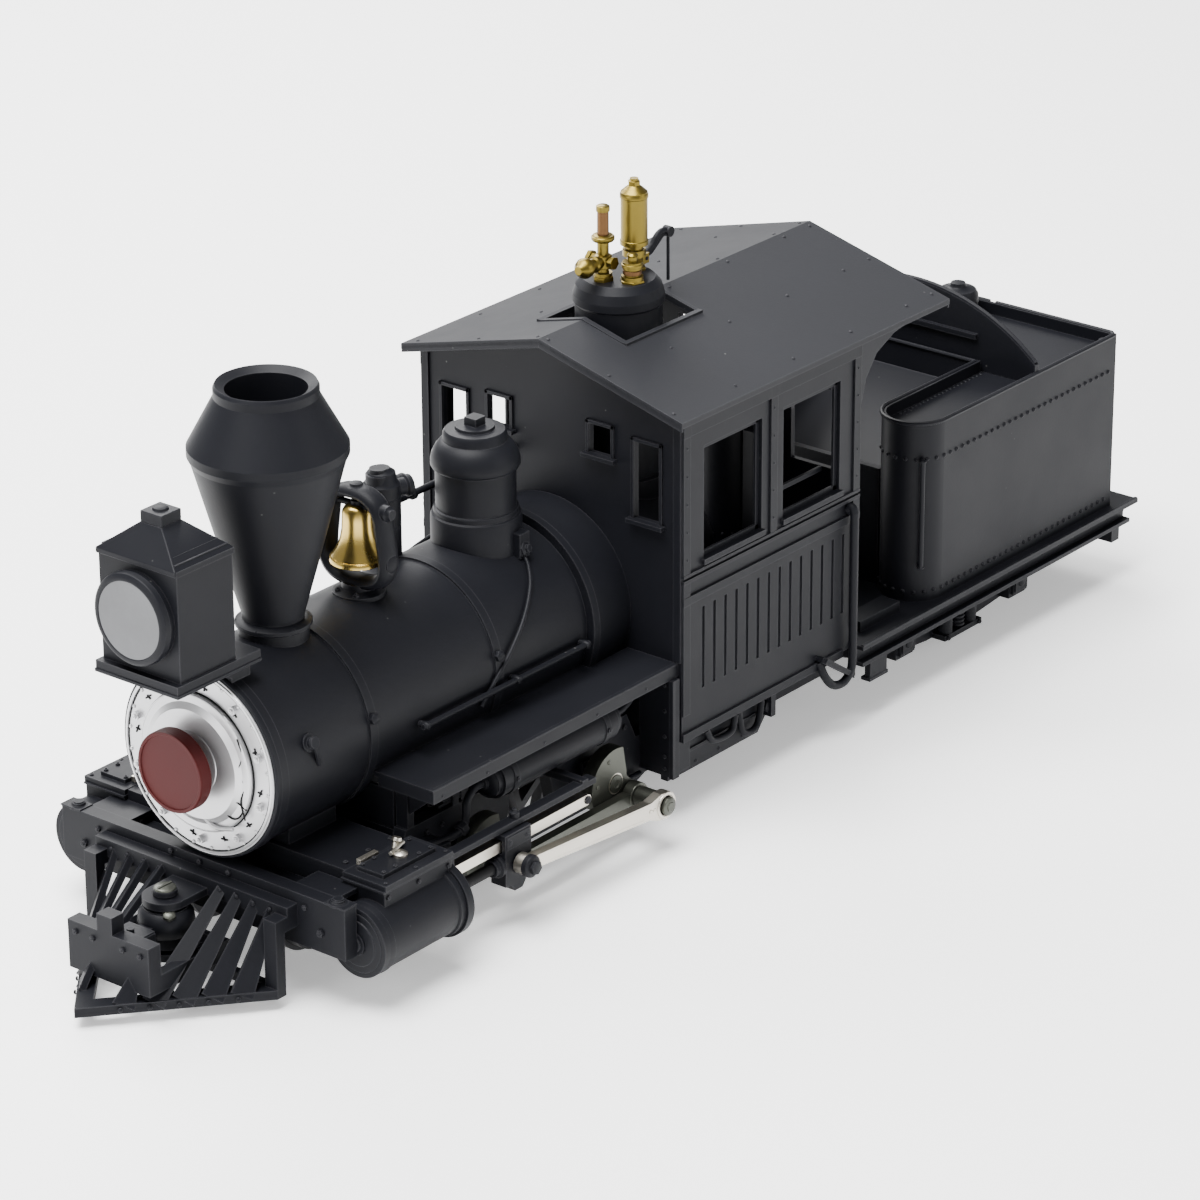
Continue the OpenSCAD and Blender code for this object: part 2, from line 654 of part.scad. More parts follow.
bell_z = 52.4;
module bell() color("#c9a24a") {
    translate([bell_x, 0, 0]) rotate_extrude() polygon([[0, bell_z], [0, bell_z + 1.2], [1.7, bell_z + 0.9],
        [2, bell_z + 0.2], [2.1, bell_z - 3], [2.4, bell_z - 4.6], [3.3, bell_z - 6], [3.6, bell_z - 6.8],
        [3.2, bell_z - 6.9], [2.1, bell_z - 5], [1.6, bell_z - 3], [1.4, bell_z - 0.4]]);
    ycyl(0.5, bell_x, [-4.1, 4.1], bell_z + 0.9);
    translate([bell_x, 0, bell_z - 6.4]) sphere(0.7);
    zcyl(0.25, bell_x, 0, [bell_z - 6.4, bell_z]);
}

module bell_stand() color(black) difference() {
    yz([bell_x - 0.9, bell_x + 0.9]) difference() {
        union() {
            translate([0, bell_z + 0.4]) circle(5.4);
            translate([-5.4, 41.6]) square([10.8, bell_z - 41.2]);
            translate([-6.4, 36]) square([12.8, 5.8]);
        }
        translate([0, bell_z + 0.4]) circle(4.4);
        translate([-4.4, 44.2]) square([8.8, bell_z - 43.8]);
    }
    ycyl(0.5 + run_gap, bell_x, [-4.8, 4.8], bell_z + 0.9);
    boiler_room();
}

dome_top_z = 69.3;
module steam_dome() color(black) difference() {
    union() {
        translate([steam_dome_x, 0, 0]) rotate_extrude() polygon([[0, 58], [6, 58], [6, 65.6],
            [6.3, 66], [6.3, 67], [5.9, 68.3], [5, dome_top_z], [0, dome_top_z]]);
        zcyl(6, steam_dome_x, 0, [38, 58]);
        zcyl(7, steam_dome_x, 0, [36, 41.6]);
    }
    xcyl(12.42, [cab_x0 + 1, backhead_x], 0, boiler_z);
}

whistle_x = 10.6;
module whistle() color("#b5953f") {
    zcyl(1.1, whistle_x, 0, [dome_top_z, 71.3]);
    zcyl(1.6, whistle_x, 0, [71.3, 72.2]);
    zcyl(1.2, whistle_x, 0, [72.2, 72.9]);
    zcyl(1.85, whistle_x, 0, [72.9, 80.4]);
    translate([whistle_x, 0, 80.4]) cylinder(r1 = 1.85, r2 = 0.8, h = 0.9);
    zcyl(0.6, whistle_x, 0, [81.3, 82.3]);
    difference() {
        both_sides() box([whistle_x + 0.8, whistle_x + 2.2], [0.45, 0.85], [69.8, 71.2]);
        ycyl(0.25 + run_gap, whistle_x + 1.7, [-2, 2], 70.5);
    }
}

module whistle_lever() color("#b5953f") {
    xz([-0.35, 0.35]) polygon([[whistle_x + 1.4, 70.9], [14, 71.2], [16.4, 72.9], [18.2, 73],
        [18.2, 72.4], [16.6, 72.3], [14.2, 70.6], [whistle_x + 1.4, 70.1]]);
    ycyl(0.25, whistle_x + 1.7, [-0.95, 0.95], 70.5);
}

module safety_valve() color("#b5953f") {
    translate([6.4, -3, 0]) {
        zcyl(1.5, 0, 0, [dome_top_z, 70.2]);
        zcyl(1.15, 0, 0, [70.2, 71.2]);
        zcyl(1.35, 0, 0, [71.2, 72.2]);
        zcyl(0.7, 0, 0, [72.2, 73]);
    }
    zcyl(1.25, 4.6, 0.6, [dome_top_z, 70.4]);
    zcyl(0.8, 4.6, 0.6, [70.4, 75]);
    xcyl(0.9, [0.8, 5.6], 0.6, 72);
    translate([0.8, 0.6, 72]) sphere(1.25);
    zcyl(1.4, 4.6, 0.6, [75, 75.7]);
    zcyl(0.7, 4.6, 0.6, [75.7, 79.9]);
}

module steam_turret() color(black) difference() {
    union() {
        zcyl(2.3, -35, 6, [36, 50.4]);
        zcyl(1.7, -36, 6, [50.4, 52.6]);
        zcyl(1.2, -36, 6, [52.6, 53.4]);
        xcyl(0.5, [-34, cab_x0], 6.9, 47);
        xcyl(1.1, [-33, -31], 6, 50);
    }
    boiler_room();
}

module handrails() color(black) {
    both_sides() {
        xcyl(0.4, [-51, -17], 14.1, 27.1);
        for (x = [-50.4, -32, -17.6]) ycyl(0.45, x, [13, 14.1], 27.1);
        zcyl(0.45, 29.6, 23.9, [8.6, 33.2]);
        ycyl(0.45, 29.6, [cab_half_w, 23.9], 33.2);
        xz([23.45, 24.35]) polygon([[29.6, 8.2], [29.6, 9.1], [23.3, 13.4], [22.7, 12.8]]);
        ycyl(0.45, 23, [cab_half_w, 23.9], 13.1);
        zcyl(0.4, tank_x0 + 0.8, 21.4, [17.8, 34]);
        for (z = [17.8, 34]) translate([tank_x0 + 0.8, 21.4, z]) rotate([0, 90, -45])
            cylinder(r = 0.4, h = 0.92);
    }
}

// ---- cab ----

module side_outline() polygon([[cab_x0, cab_z0], [28.4, cab_z0], [cab_x1, 14.8],
    [cab_x1, 58.4], [cab_x0, 58.4]]);

window_z = [37, 53.2];
window_x = [[-3, 9.8], [14.6, 27.6]];
groove_n = 14;

module cab_side() difference() {
    union() {
        xz([cab_half_w - 0.8, cab_half_w]) side_outline();
        box([cab_x0, cab_x1], [cab_half_w, cab_half_w + 0.35], [34.6, 35.1]);
        box([cab_x0, cab_x1], [cab_half_w, cab_half_w + 0.35], [35.5, 35.9]);
        for (w = window_x) box([w[0] - 0.4, w[1] + 0.4], [cab_half_w, cab_half_w + 0.5], [36.2, 37]);
    }
    for (w = window_x) box(w, [cab_half_w - 2, cab_half_w + 2], window_z);
    for (i = [0 : groove_n - 1]) box([-3 + 2.44 * i - 0.3, -3 + 2.44 * i + 0.3],
        [cab_half_w - 0.25, cab_half_w + 1], [18, 30]);
}

module gable(y) polygon([[-y, cab_z0], [y, cab_z0], [y, ridge_z - roof_t - 0.02 - roof_slope * y],
    [0, ridge_z - roof_t - 0.02], [-y, ridge_z - roof_t - 0.02 - roof_slope * y]]);

module cab() color(black) {
    both_sides() cab_side();
    difference() {
        yz([cab_x0, cab_x0 + 0.8]) gable(cab_half_w - 0.8);
        both_sides() {
            box([cab_x0 - 1, cab_x0 + 2], [14.6, 18.9], [42.4, 53.5]);
            box([cab_x0 - 1, cab_x0 + 2], [6.9, 10.7], [50, 54.2]);
        }
    }
    difference() {
        yz([cab_x1 - 0.8, cab_x1]) gable(cab_half_w - 0.8);
        both_sides() box([cab_x1 - 2, cab_x1 + 1], [11.5, 18.5], [38, 53]);
        box([cab_x1 - 2, cab_x1 + 1], [-8.5, 8.5], [12.6, 55]);
    }
    box([cab_x0, cab_x1], [0.8 - cab_half_w, cab_half_w - 0.8], [cab_z0, 12.6]);
}

module roof_section(top, under) polygon([[-roof_half_w, eave_z - under], [-roof_half_w, eave_z],
    [0, top], [roof_half_w, eave_z], [roof_half_w, eave_z - under], [0, top - under]]);

module cab_roof() color("#2a2a2c") {
    difference() {
        yz([roof_x0, roof_x1]) roof_section(ridge_z, roof_t);
        box(hatch_x, [-hatch_y, hatch_y], [50, 70]);
    }
    lip_z = ridge_z - roof_slope * hatch_y;
    for (x = [[hatch_x[0] - 0.9, hatch_x[0]], [hatch_x[1], hatch_x[1] + 0.7]])
        yz(x) polygon([[-hatch_y, lip_z - 0.3], [-hatch_y, lip_z + 0.2], [0, ridge_z + 0.2],
            [hatch_y, lip_z + 0.2], [hatch_y, lip_z - 0.3], [0, ridge_z - 0.3]]);
    both_sides() box([hatch_x[0] - 0.9, hatch_x[1] + 0.7], [hatch_y, hatch_y + 0.8],
        [lip_z - 0.3 - roof_slope * 0.8, lip_z + 0.2]);
    both_sides() xz([21.8, 22.6]) polygon([[cab_x1 + 0.02, 58.9], [roof_x1, 58.9], [roof_x1, 57.9],
        [46.5, 57.6], [40, 56.6], [36, 54.8], [33.6, 51.8], [cab_x1 + 0.02, 47]]);
}

// ---- tank ----

bunker_x1 = 75;
// The tank's plan, drawn in by r from its outside
module tank_plan(r) {
    translate([bunker_x1 + r, -tank_half_w + r])
        square([tank_x1 - bunker_x1 - 2 * r, 2 * (tank_half_w - r)]);
    both_sides() {
        translate([tank_x0 + leg_r, leg_y]) circle(leg_r - r);
        translate([tank_x0 + leg_r, leg_y - leg_r + r])
            square([bunker_x1 - tank_x0 - leg_r + 1, 2 * (leg_r - r)]);
    }
}

filler = [92.4, 3];
module tank() color(black) {
    difference() {
        translate([0, 0, deck_z]) linear_extrude(tank_z - deck_z) tank_plan(0);
        translate([0, 0, tank_z - 1.8]) linear_extrude(3) tank_plan(0.6);
    }
    difference() {
        zcyl(3, filler[0], filler[1], [tank_z - 1.8, tank_z + 0.2]);
        zcyl(2.4, filler[0], filler[1], [tank_z - 1.8, tank_z + 1]);
    }
}

fence_x = 76;
fence_r = 33.5;
fence_top_z = 49.2;
bunker_y = leg_y - leg_r - 0.02;
module fence() intersection() {
    translate([0, fence_top_z - fence_r]) circle(fence_r);
    union() {
        translate([-tank_half_w + 0.7, tank_z - 1.8]) square([2 * tank_half_w - 1.4, 30]);
        translate([-tank_half_w, tank_z + 0.02]) square([2 * tank_half_w, 30]);
    }
}

module bunker_boards() color(black) {
    xz([-bunker_y, bunker_y]) polygon([[tank_x0 + 4, deck_z], [bunker_x1 - 0.02, deck_z],
        [bunker_x1 - 0.02, 35.5], [tank_x0 + 4, 26]]);
    box([tank_x0 + 3, tank_x0 + 4], [-bunker_y, bunker_y], [deck_z, 30]);
    yz([fence_x, fence_x + 0.9]) fence();
    box([fence_x - 0.6, fence_x], [-12, 12], [42.6, 43.4]);
}

module tank_hatch() color(black) {
    zcyl(3.1, filler[0], filler[1], [tank_z + 0.25, tank_z + 0.85]);
    zcyl(0.6, filler[0], filler[1], [tank_z + 0.85, tank_z + 1.4]);
    box([filler[0] + 2.5, filler[0] + 3.6], [filler[1] - 0.9, filler[1] + 0.9],
        [tank_z + 0.25, tank_z + 0.85]);
    ycyl(0.3, filler[0] + 3.6, [filler[1] - 0.9, filler[1] + 0.9], tank_z + 0.55);
}

frame_left();
frame_right();
cylinder_saddle();
pilot_beam();
pilot();
front_coupler();
rear_coupler();
running_boards();
air_reservoirs();
ash_pan();
deck();
upper_guides();
lower_guides();
cylinder_left();
cylinder_right();
piston_left();
piston_right();
crosshead_left();
crosshead_right();
main_rod_left();
main_rod_right();
side_rod_left();
side_rod_right();
main_axle();
main_wheels();
main_crank_left();
main_crank_right();
front_axle();
front_wheels();
front_crank_left();
front_crank_right();
motor();
motor_shaft();
axle_gear();
pilot_truck();
pilot_wheelset();
rear_truck();
truck_wheelset_front();
truck_wheelset_rear();
boiler();
firebox();
smokebox_front();
number_plate();
smokestack();
headlight();
headlight_lens();
sand_dome();
bell();
bell_stand();
steam_dome();
whistle();
whistle_lever();
safety_valve();
steam_turret();
handrails();
cab();
cab_roof();
tank();
bunker_boards();
tank_hatch();
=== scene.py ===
"""Looks for the outside-frame 2-4-4 tank locomotive. Lengths are written in mm and scaled on the way in."""

import math

import bmesh
import bpy
from mathutils import Matrix, Vector


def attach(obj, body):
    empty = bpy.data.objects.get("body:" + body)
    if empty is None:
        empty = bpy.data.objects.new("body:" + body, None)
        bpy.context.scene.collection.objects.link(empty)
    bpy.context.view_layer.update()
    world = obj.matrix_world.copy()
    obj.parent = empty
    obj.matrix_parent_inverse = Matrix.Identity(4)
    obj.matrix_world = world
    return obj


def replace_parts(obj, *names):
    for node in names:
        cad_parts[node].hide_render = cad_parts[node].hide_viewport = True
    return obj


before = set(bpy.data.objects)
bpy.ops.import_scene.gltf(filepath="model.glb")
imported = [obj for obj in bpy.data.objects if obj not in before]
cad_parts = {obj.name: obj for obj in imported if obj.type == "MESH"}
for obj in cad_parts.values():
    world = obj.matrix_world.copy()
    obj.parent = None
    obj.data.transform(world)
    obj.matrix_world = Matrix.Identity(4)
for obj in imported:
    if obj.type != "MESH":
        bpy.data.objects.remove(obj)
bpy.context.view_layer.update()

MM = 0.001
SHARP_EDGE = math.radians(38)
UP, FORWARD, AFT = (0, 0, 1), (-1, 0, 0), (1, 0, 0)


# ---- materials ----

class Shader:
    """A small helper round a node tree."""

    def __init__(self, name):
        self.mat = bpy.data.materials.new(name)
        self.mat.use_nodes = True
        self.tree = self.mat.node_tree
        self.bsdf = self.tree.nodes["Principled BSDF"]

    def node(self, kind, **inputs):
        """A new node; in the input names an underscore stands for a space."""
        n = self.tree.nodes.new(kind)
        for k, v in inputs.items():
            n.inputs[k.replace("_", " ")].default_value = v
        return n

    def link(self, a, b):
        self.tree.links.new(a, b)

    def ramp(self, value, **limits):
        """A value spread between new limits."""
        n = self.node("ShaderNodeMapRange", **limits)
        self.link(value, n.inputs["Value"])
        return n.outputs["Result"]

    def times(self, a, b):
        """The product of two values."""
        n = self.node("ShaderNodeMath")
        n.operation = "MULTIPLY"
        self.link(a, n.inputs[0])
        self.link(b, n.inputs[1])
        return n.outputs["Value"]

    def cover(self, under, mask, color):
        """A colour laid over another where the mask is 1."""
        n = self.node("ShaderNodeMix")
        n.data_type = "RGBA"
        self.link(mask, n.inputs[0])
        self.link(under, n.inputs[6])
        n.inputs[7].default_value = (*color, 1.0)
        return n.outputs[2]


DUST_COLOR = (0.20, 0.20, 0.19)


def finish_material(name, color, rough, metallic=0.0, grain=0.5, dust=0.0, wear=None, mottling=0.12,
                    specular=0.5):
    """Paint or metal: mottled colour, uneven gloss, fine grain, worn edges and specks of dust."""
    s = Shader(name)
    t = s.node("ShaderNodeTexCoord")
    big = s.node("ShaderNodeTexNoise", Scale=90.0, Detail=6.0, Roughness=0.6)
    fine = s.node("ShaderNodeTexNoise", Scale=2600.0, Detail=4.0, Roughness=0.65)
    s.link(t.outputs["Object"], big.inputs["Vector"])
    s.link(t.outputs["Object"], fine.inputs["Vector"])
    patches = big.outputs["Fac"]

    base = s.node("ShaderNodeMix")
    base.data_type = "RGBA"
    base.blend_type = "MULTIPLY"
    base.inputs[0].default_value = 1.0
    base.inputs[6].default_value = (*color, 1.0)
    s.link(s.ramp(patches, To_Min=1.0 - mottling, To_Max=1.0 + mottling), base.inputs[7])
    last = base.outputs[2]

    if wear:
        bevel = s.node("ShaderNodeBevel", Radius=0.00035)
        bevel.samples = 4
        geo = s.node("ShaderNodeNewGeometry")
        dot = s.node("ShaderNodeVectorMath")
        dot.operation = "DOT_PRODUCT"
        s.link(bevel.outputs["Normal"], dot.inputs[0])
        s.link(geo.outputs["Normal"], dot.inputs[1])
        edge = s.ramp(dot.outputs["Value"], From_Min=0.97, From_Max=0.80)
        last = s.cover(last, s.times(edge, patches), wear)

    if dust:
        speck = s.node("ShaderNodeTexVoronoi", Scale=420.0)
        s.link(t.outputs["Object"], speck.inputs["Vector"])
        dots = s.ramp(speck.outputs["Distance"], From_Min=0.075, From_Max=0.045, To_Max=dust)
        rare = s.ramp(patches, From_Min=0.56, From_Max=0.66)
        last = s.cover(last, s.times(dots, rare), DUST_COLOR)

    s.link(last, s.bsdf.inputs["Base Color"])
    gloss = s.ramp(patches, To_Min=max(0.03, rough - 0.09), To_Max=min(1.0, rough + 0.09))
    s.link(gloss, s.bsdf.inputs["Roughness"])
    bump = s.node("ShaderNodeBump", Strength=grain, Distance=0.00002)
    s.link(fine.outputs["Fac"], bump.inputs["Height"])
    s.link(bump.outputs["Normal"], s.bsdf.inputs["Normal"])
    s.bsdf.inputs["Metallic"].default_value = metallic
    s.bsdf.inputs["Specular IOR Level"].default_value = specular
    return s.mat


PAINT_WEAR = (0.045, 0.045, 0.05)
BLACK = finish_material("black_paint", (0.0052, 0.0055, 0.0076), 0.50, grain=0.5, dust=0.35,
                        wear=PAINT_WEAR, specular=0.13)
ROOF = finish_material("roof_paint", (0.0088, 0.0092, 0.0118), 0.62, grain=0.8, dust=0.4,
                       wear=PAINT_WEAR, specular=0.22)
DARK = finish_material("dark_works", (0.006, 0.006, 0.0065), 0.55, grain=0.7, specular=0.12)
SILVER = finish_material("smokebox_silver", (0.50, 0.50, 0.51), 0.36, metallic=0.75, grain=0.9,
                         mottling=0.14, wear=(0.75, 0.75, 0.75))
RED = finish_material("plate_red", (0.052, 0.0055, 0.0054), 0.55, grain=0.7, mottling=0.2,
                      dust=0.15, specular=0.15)
WHEEL = finish_material("wheel_steel", (0.06, 0.06, 0.063), 0.42, metallic=0.9, grain=0.5)
NICKEL = finish_material("rod_nickel", (0.52, 0.49, 0.43), 0.34, metallic=1.0, grain=0.4, mottling=0.08)
# Dark greenish metal of the cranks, crank pins and coupler screw. On the side rods it is painted shade:
# nickel rods coloured dark for the shadow they lie in behind the main rods.
CRANK_AND_SHADED_ROD = finish_material("crank_metal", (0.075, 0.078, 0.066), 0.40, metallic=0.9, grain=0.5)
BRASS = finish_material("polished_brass", (0.56, 0.40, 0.11), 0.26, metallic=1.0, grain=0.25, mottling=0.18)
VALVE = finish_material("valve_brass", (0.17, 0.125, 0.026), 0.38, metallic=1.0, grain=0.5, mottling=0.35)
COPPER = finish_material("pipe_copper", (0.13, 0.068, 0.03), 0.42, metallic=1.0, grain=0.5, mottling=0.35)
MOTOR = finish_material("motor_can", (0.4, 0.41, 0.42), 0.35, metallic=0.9, grain=0.4)
WORM = finish_material("worm_brass", (0.6, 0.43, 0.16), 0.3, metallic=1.0, grain=0.4)
GEAR = finish_material("gear_plastic", (0.62, 0.58, 0.47), 0.5, grain=0.3)
LENS = finish_material("lamp_lens", (0.075, 0.077, 0.082), 0.24, grain=0.3, mottling=0.5)

NODE_LOOK = {
    "cab_roof": ROOF, "smokebox_front": SILVER, "number_plate": RED, "lower_guides": NICKEL,
    "main_axle": NICKEL, "front_axle": NICKEL, "piston_left": DARK, "piston_right": DARK,
    # The side rods take the dark crank metal: painted shade on nickel rods lying in shadow.
    "main_rod_left": NICKEL, "main_rod_right": NICKEL, "side_rod_left": CRANK_AND_SHADED_ROD,
    "side_rod_right": CRANK_AND_SHADED_ROD, "main_wheels": WHEEL, "front_wheels": WHEEL, "pilot_wheelset": WHEEL,
    "truck_wheelset_front": WHEEL, "truck_wheelset_rear": WHEEL, "main_crank_left": CRANK_AND_SHADED_ROD,
    "main_crank_right": CRANK_AND_SHADED_ROD, "front_crank_left": CRANK_AND_SHADED_ROD, "front_crank_right": CRANK_AND_SHADED_ROD,
    "bell": BRASS, "whistle": VALVE, "whistle_lever": BLACK, "safety_valve": VALVE, "motor": MOTOR,
    "motor_shaft": WORM, "axle_gear": GEAR, "headlight_lens": LENS,
}
BEVEL_MM = {"cab_roof": 0.12, "cab": 0.10, "tank": 0.12, "deck": 0.15, "pilot_beam": 0.45,
            "pilot": 0.12, "headlight": 0.3, "crosshead_left": 0.35, "crosshead_right": 0.35,
            "main_rod_left": 0.18, "main_rod_right": 0.18, "lower_guides": 0.2, "smokestack": 0.1,
            "steam_dome": 0.2, "sand_dome": 0.25, "boiler": 0.1, "firebox": 0.25,
            "running_boards": 0.15, "cylinder_left": 0.3, "cylinder_right": 0.3}


def soften(obj, width):
    """Rounded edges and smooth shading."""
    b = obj.modifiers.new("edges", "BEVEL")
    b.width = width * MM
    b.segments = 2
    b.limit_method = "ANGLE"
    b.angle_limit = SHARP_EDGE
    b.use_clamp_overlap = True
    b.harden_normals = True


for name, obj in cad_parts.items():
    obj.data.materials.clear()
    obj.data.materials.append(NODE_LOOK.get(name, BLACK))
    soften(obj, BEVEL_MM.get(name, 0.1))


# ---- mesh pieces ----

def spline(points, steps=8):
    """A smooth curve through the points."""
    p = [Vector(q) for q in points]
    p = [p[0] * 2 - p[1], *p, p[-1] * 2 - p[-2]]
    out = []
    for i in range(1, len(p) - 2):
        a, b, c, d = p[i - 1:i + 3]
        for k in range(steps):
            t = k / steps
            out.append(0.5 * ((2 * b) + (c - a) * t + (2 * a - 5 * b + 4 * c - d) * t * t
                              + (3 * b - a - 3 * c + d) * t ** 3))
    return out + [p[-2]]


class Piece:
    """A detail made of many small shapes, all on one body."""

    def __init__(self, name, body, mat, slot, bevel=0.06):
        self.name, self.body, self.mat, self.slot, self.bevel = name, body, mat, slot, bevel
        self.bm = bmesh.new()

    def poly(self, rings, caps=True):
        """A closed skin through rings of points, with or without flat ends."""
        rows = [[self.bm.verts.new(v) for v in ring] for ring in rings]
        for a, b in zip(rows, rows[1:]):
            n = len(a)
            for i in range(n):
                self.bm.faces.new((a[i], a[(i + 1) % n], b[(i + 1) % n], b[i]))
        if caps:
            self.bm.faces.new(rows[0][::-1])
            self.bm.faces.new(rows[-1])

    def box(self, x, y, z):
        """A box between the two values of each axis."""
        self.poly([[(x[0], y[0], h), (x[1], y[0], h), (x[1], y[1], h), (x[0], y[1], h)] for h in z])

    def turned(self, base, axis, profile, n=24):
        """A turned shape: profile is (distance along the axis, radius) from the base."""
        axis = Vector(axis).normalized()
        side = axis.orthogonal().normalized()
        up = axis.cross(side)
        base = Vector(base)
        turns = [2 * math.pi * i / n for i in range(n)]
        rims = [side * math.cos(a) + up * math.sin(a) for a in turns]
        self.poly([[base + axis * h + rim * max(r, 0.002) for rim in rims] for h, r in profile])

    def rod(self, a, b, r, n=20):
        a, b = Vector(a), Vector(b)
        self.turned(a, b - a, [(0, r), ((b - a).length, r)], n)

    def rivet(self, p, axis, r=0.3, h=0.2, n=10):
        self.turned(p, axis, [(-0.05, r), (h * 0.25, r), (h * 0.75, r * 0.72), (h, r * 0.25)], n)

    def bolt(self, p, axis, r=0.5, h=0.45):
        """A hexagon head with a stud end."""
        self.turned(p, axis, [(-0.05, r), (h, r)], 6)
        top = Vector(p) + Vector(axis).normalized() * h
        self.turned(top, axis, [(-0.05, r * 0.5), (h * 0.5, r * 0.45)], 10)

    def tube(self, points, r, n=12, smooth=True):
        """A round bar along the points, or along a smooth curve through them."""
        pts = spline(points) if smooth else [Vector(q) for q in points]
        side = (pts[1] - pts[0]).orthogonal().normalized()
        rings = []
        for i, p in enumerate(pts):
            t = (pts[min(i + 1, len(pts) - 1)] - pts[max(i - 1, 0)]).normalized()
            side = (side - t * side.dot(t)).normalized()
            up = t.cross(side)
            turns = [2 * math.pi * k / n for k in range(n)]
            rings.append([p + (side * math.cos(a) + up * math.sin(a)) * r for a in turns])
        self.poly(rings)

    def plate(self, outline, lo, hi, plane):
        """An outline in the named plane, extruded from lo to hi along the third axis."""
        at = {"xz": lambda u, v, w: (u, w, v), "yz": lambda u, v, w: (w, u, v),
              "xy": lambda u, v, w: (u, v, w)}[plane]
        self.poly([[at(u, v, w) for u, v in outline] for w in (lo, hi)])

    def done(self):
        """Make the object, scaled to metres, on its body and with its material."""
        bmesh.ops.recalc_face_normals(self.bm, faces=self.bm.faces)
        mesh = bpy.data.meshes.new(self.name)
        self.bm.to_mesh(mesh)
        self.bm.free()
        mesh.transform(Matrix.Scale(MM, 4))
        for p in mesh.polygons:
            p.use_smooth = True
        mesh.set_sharp_from_angle(angle=SHARP_EDGE)
        mesh.materials.append(self.mat)
        obj = bpy.data.objects.new(self.name, mesh)
        bpy.context.scene.collection.objects.link(obj)
        if self.bevel:
            soften(obj, self.bevel)
        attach(obj, self.body)
        return obj


SIDES = (-1, 1)
BOILER_R, BOILER_Z = 13.0, 28.3


def across(s, a, b):
    """The y values from a to b on side s, in rising order."""
    return sorted((s * a, s * b))


def around(x, r, angle):
    """A point on a cylinder round the boiler's axis, angle from +Y towards +Z."""
    a = math.radians(angle)
    return (x, r * math.cos(a), BOILER_Z + r * math.sin(a)), (0, math.cos(a), math.sin(a))


# ---- roof: screws and edges ----

ROOF_RIDGE, ROOF_EAVE, ROOF_HALF = 65.2, 58.9, 24.4
slope = (ROOF_RIDGE - ROOF_EAVE) / ROOF_HALF


def roof_z(y):
    return ROOF_RIDGE - slope * abs(y)


roof_bits = Piece("roof_fastenings", "engine", ROOF, "roof_paint")
for x in (-9.0, 4.3, 17.2, 30.3, 43.4, 49.4):
    for y in (-22.2, -11.3, -0.9, 0.9, 11.3, 22.2):
        over_hatch = x == 4.3 and abs(y) < 9
        if not over_hatch:
            roof_bits.rivet((x, y, roof_z(y)), (0, math.copysign(slope, y), 1), r=0.26, h=0.16)
roof_bits.done()

# ---- tank: rivets, beading and coal board edge ----

TANK_Y, LEG_R, LEG_X, TANK_X1 = 22.2, 4.95, 53.45, 97.4
TANK_TOP, RIM_Z = 37.7, 39.45
LEG_Y = TANK_Y - LEG_R


def tank_path(step):
    """Points and outward normals round one side of the tank, from the leg's inner side to the rear."""
    pts = []
    x = 60.0
    while x > LEG_X:
        pts.append(((x, LEG_Y - LEG_R), (0, -1)))
        x -= step
    turns = int(math.pi * LEG_R / step)
    for i in range(turns + 1):
        a = math.pi * i / turns
        nx, ny = -math.sin(a), -math.cos(a)
        pts.append(((LEG_X + LEG_R * nx, LEG_Y + LEG_R * ny), (nx, ny)))
    x = LEG_X + step
    while x < TANK_X1 - 0.5:
        pts.append(((x, TANK_Y), (0, 1)))
        x += step
    y = TANK_Y - 0.8
    while y > 0:
        pts.append(((TANK_X1, y), (1, 0)))
        y -= step
    return pts


tank_rivets = Piece("tank_rivets", "engine", BLACK, "black_paint", bevel=0)
for s in SIDES:
    for z in (34.0, 13.6):
        for (x, y), (nx, ny) in tank_path(1.5):
            tank_rivets.rivet((x, s * y, z), (nx, s * ny, 0), r=0.33, h=0.26, n=8)
    for i in range(22):
        for y in (21.0, 13.4):
            tank_rivets.rivet((55.0 + 0.95 * i, s * y, TANK_TOP), UP, r=0.22, h=0.14, n=8)
tank_rivets.done()

beading = Piece("tank_beading", "engine", BLACK, "black_paint", bevel=0)
rim_line = [point for point, _ in tank_path(0.8)]
for s in SIDES:
    beading.tube([(x, s * y, RIM_Z) for x, y in rim_line], 0.34, n=8, smooth=False)
beading.rod((75.0, -12.3, RIM_Z), (75.0, 12.3, RIM_Z), 0.3, n=8)
for y in (-12.3, 12.3):
    beading.rod((60, y, RIM_Z), (75.0, y, RIM_Z), 0.3, n=8)
FENCE_R, FENCE_TOP = 33.5, 49.2
edge = []
for i in range(49):
    y = -21.9 + 43.8 * i / 48
    edge.append((76.45, y, FENCE_TOP - FENCE_R + math.sqrt(FENCE_R ** 2 - y * y)))
beading.tube(edge, 0.42, n=8, smooth=False)
for y in (-16.5, -5.5, 5.5, 16.5):
    beading.plate([(76.9, 37.8), (80.4, 37.8), (76.9, 43.6)], y - 0.35, y + 0.35, "xz")
beading.turned((88.3, 8.0, TANK_TOP), UP, [(0, 1.6), (0.6, 1.6), (0.6, 1.2), (1.0, 1.1)], 16)
beading.box((84.5, 86.5), (-9.5, -7.5), (TANK_TOP, 38.6))
beading.done()

# ---- cab: strips, window frames and sills ----

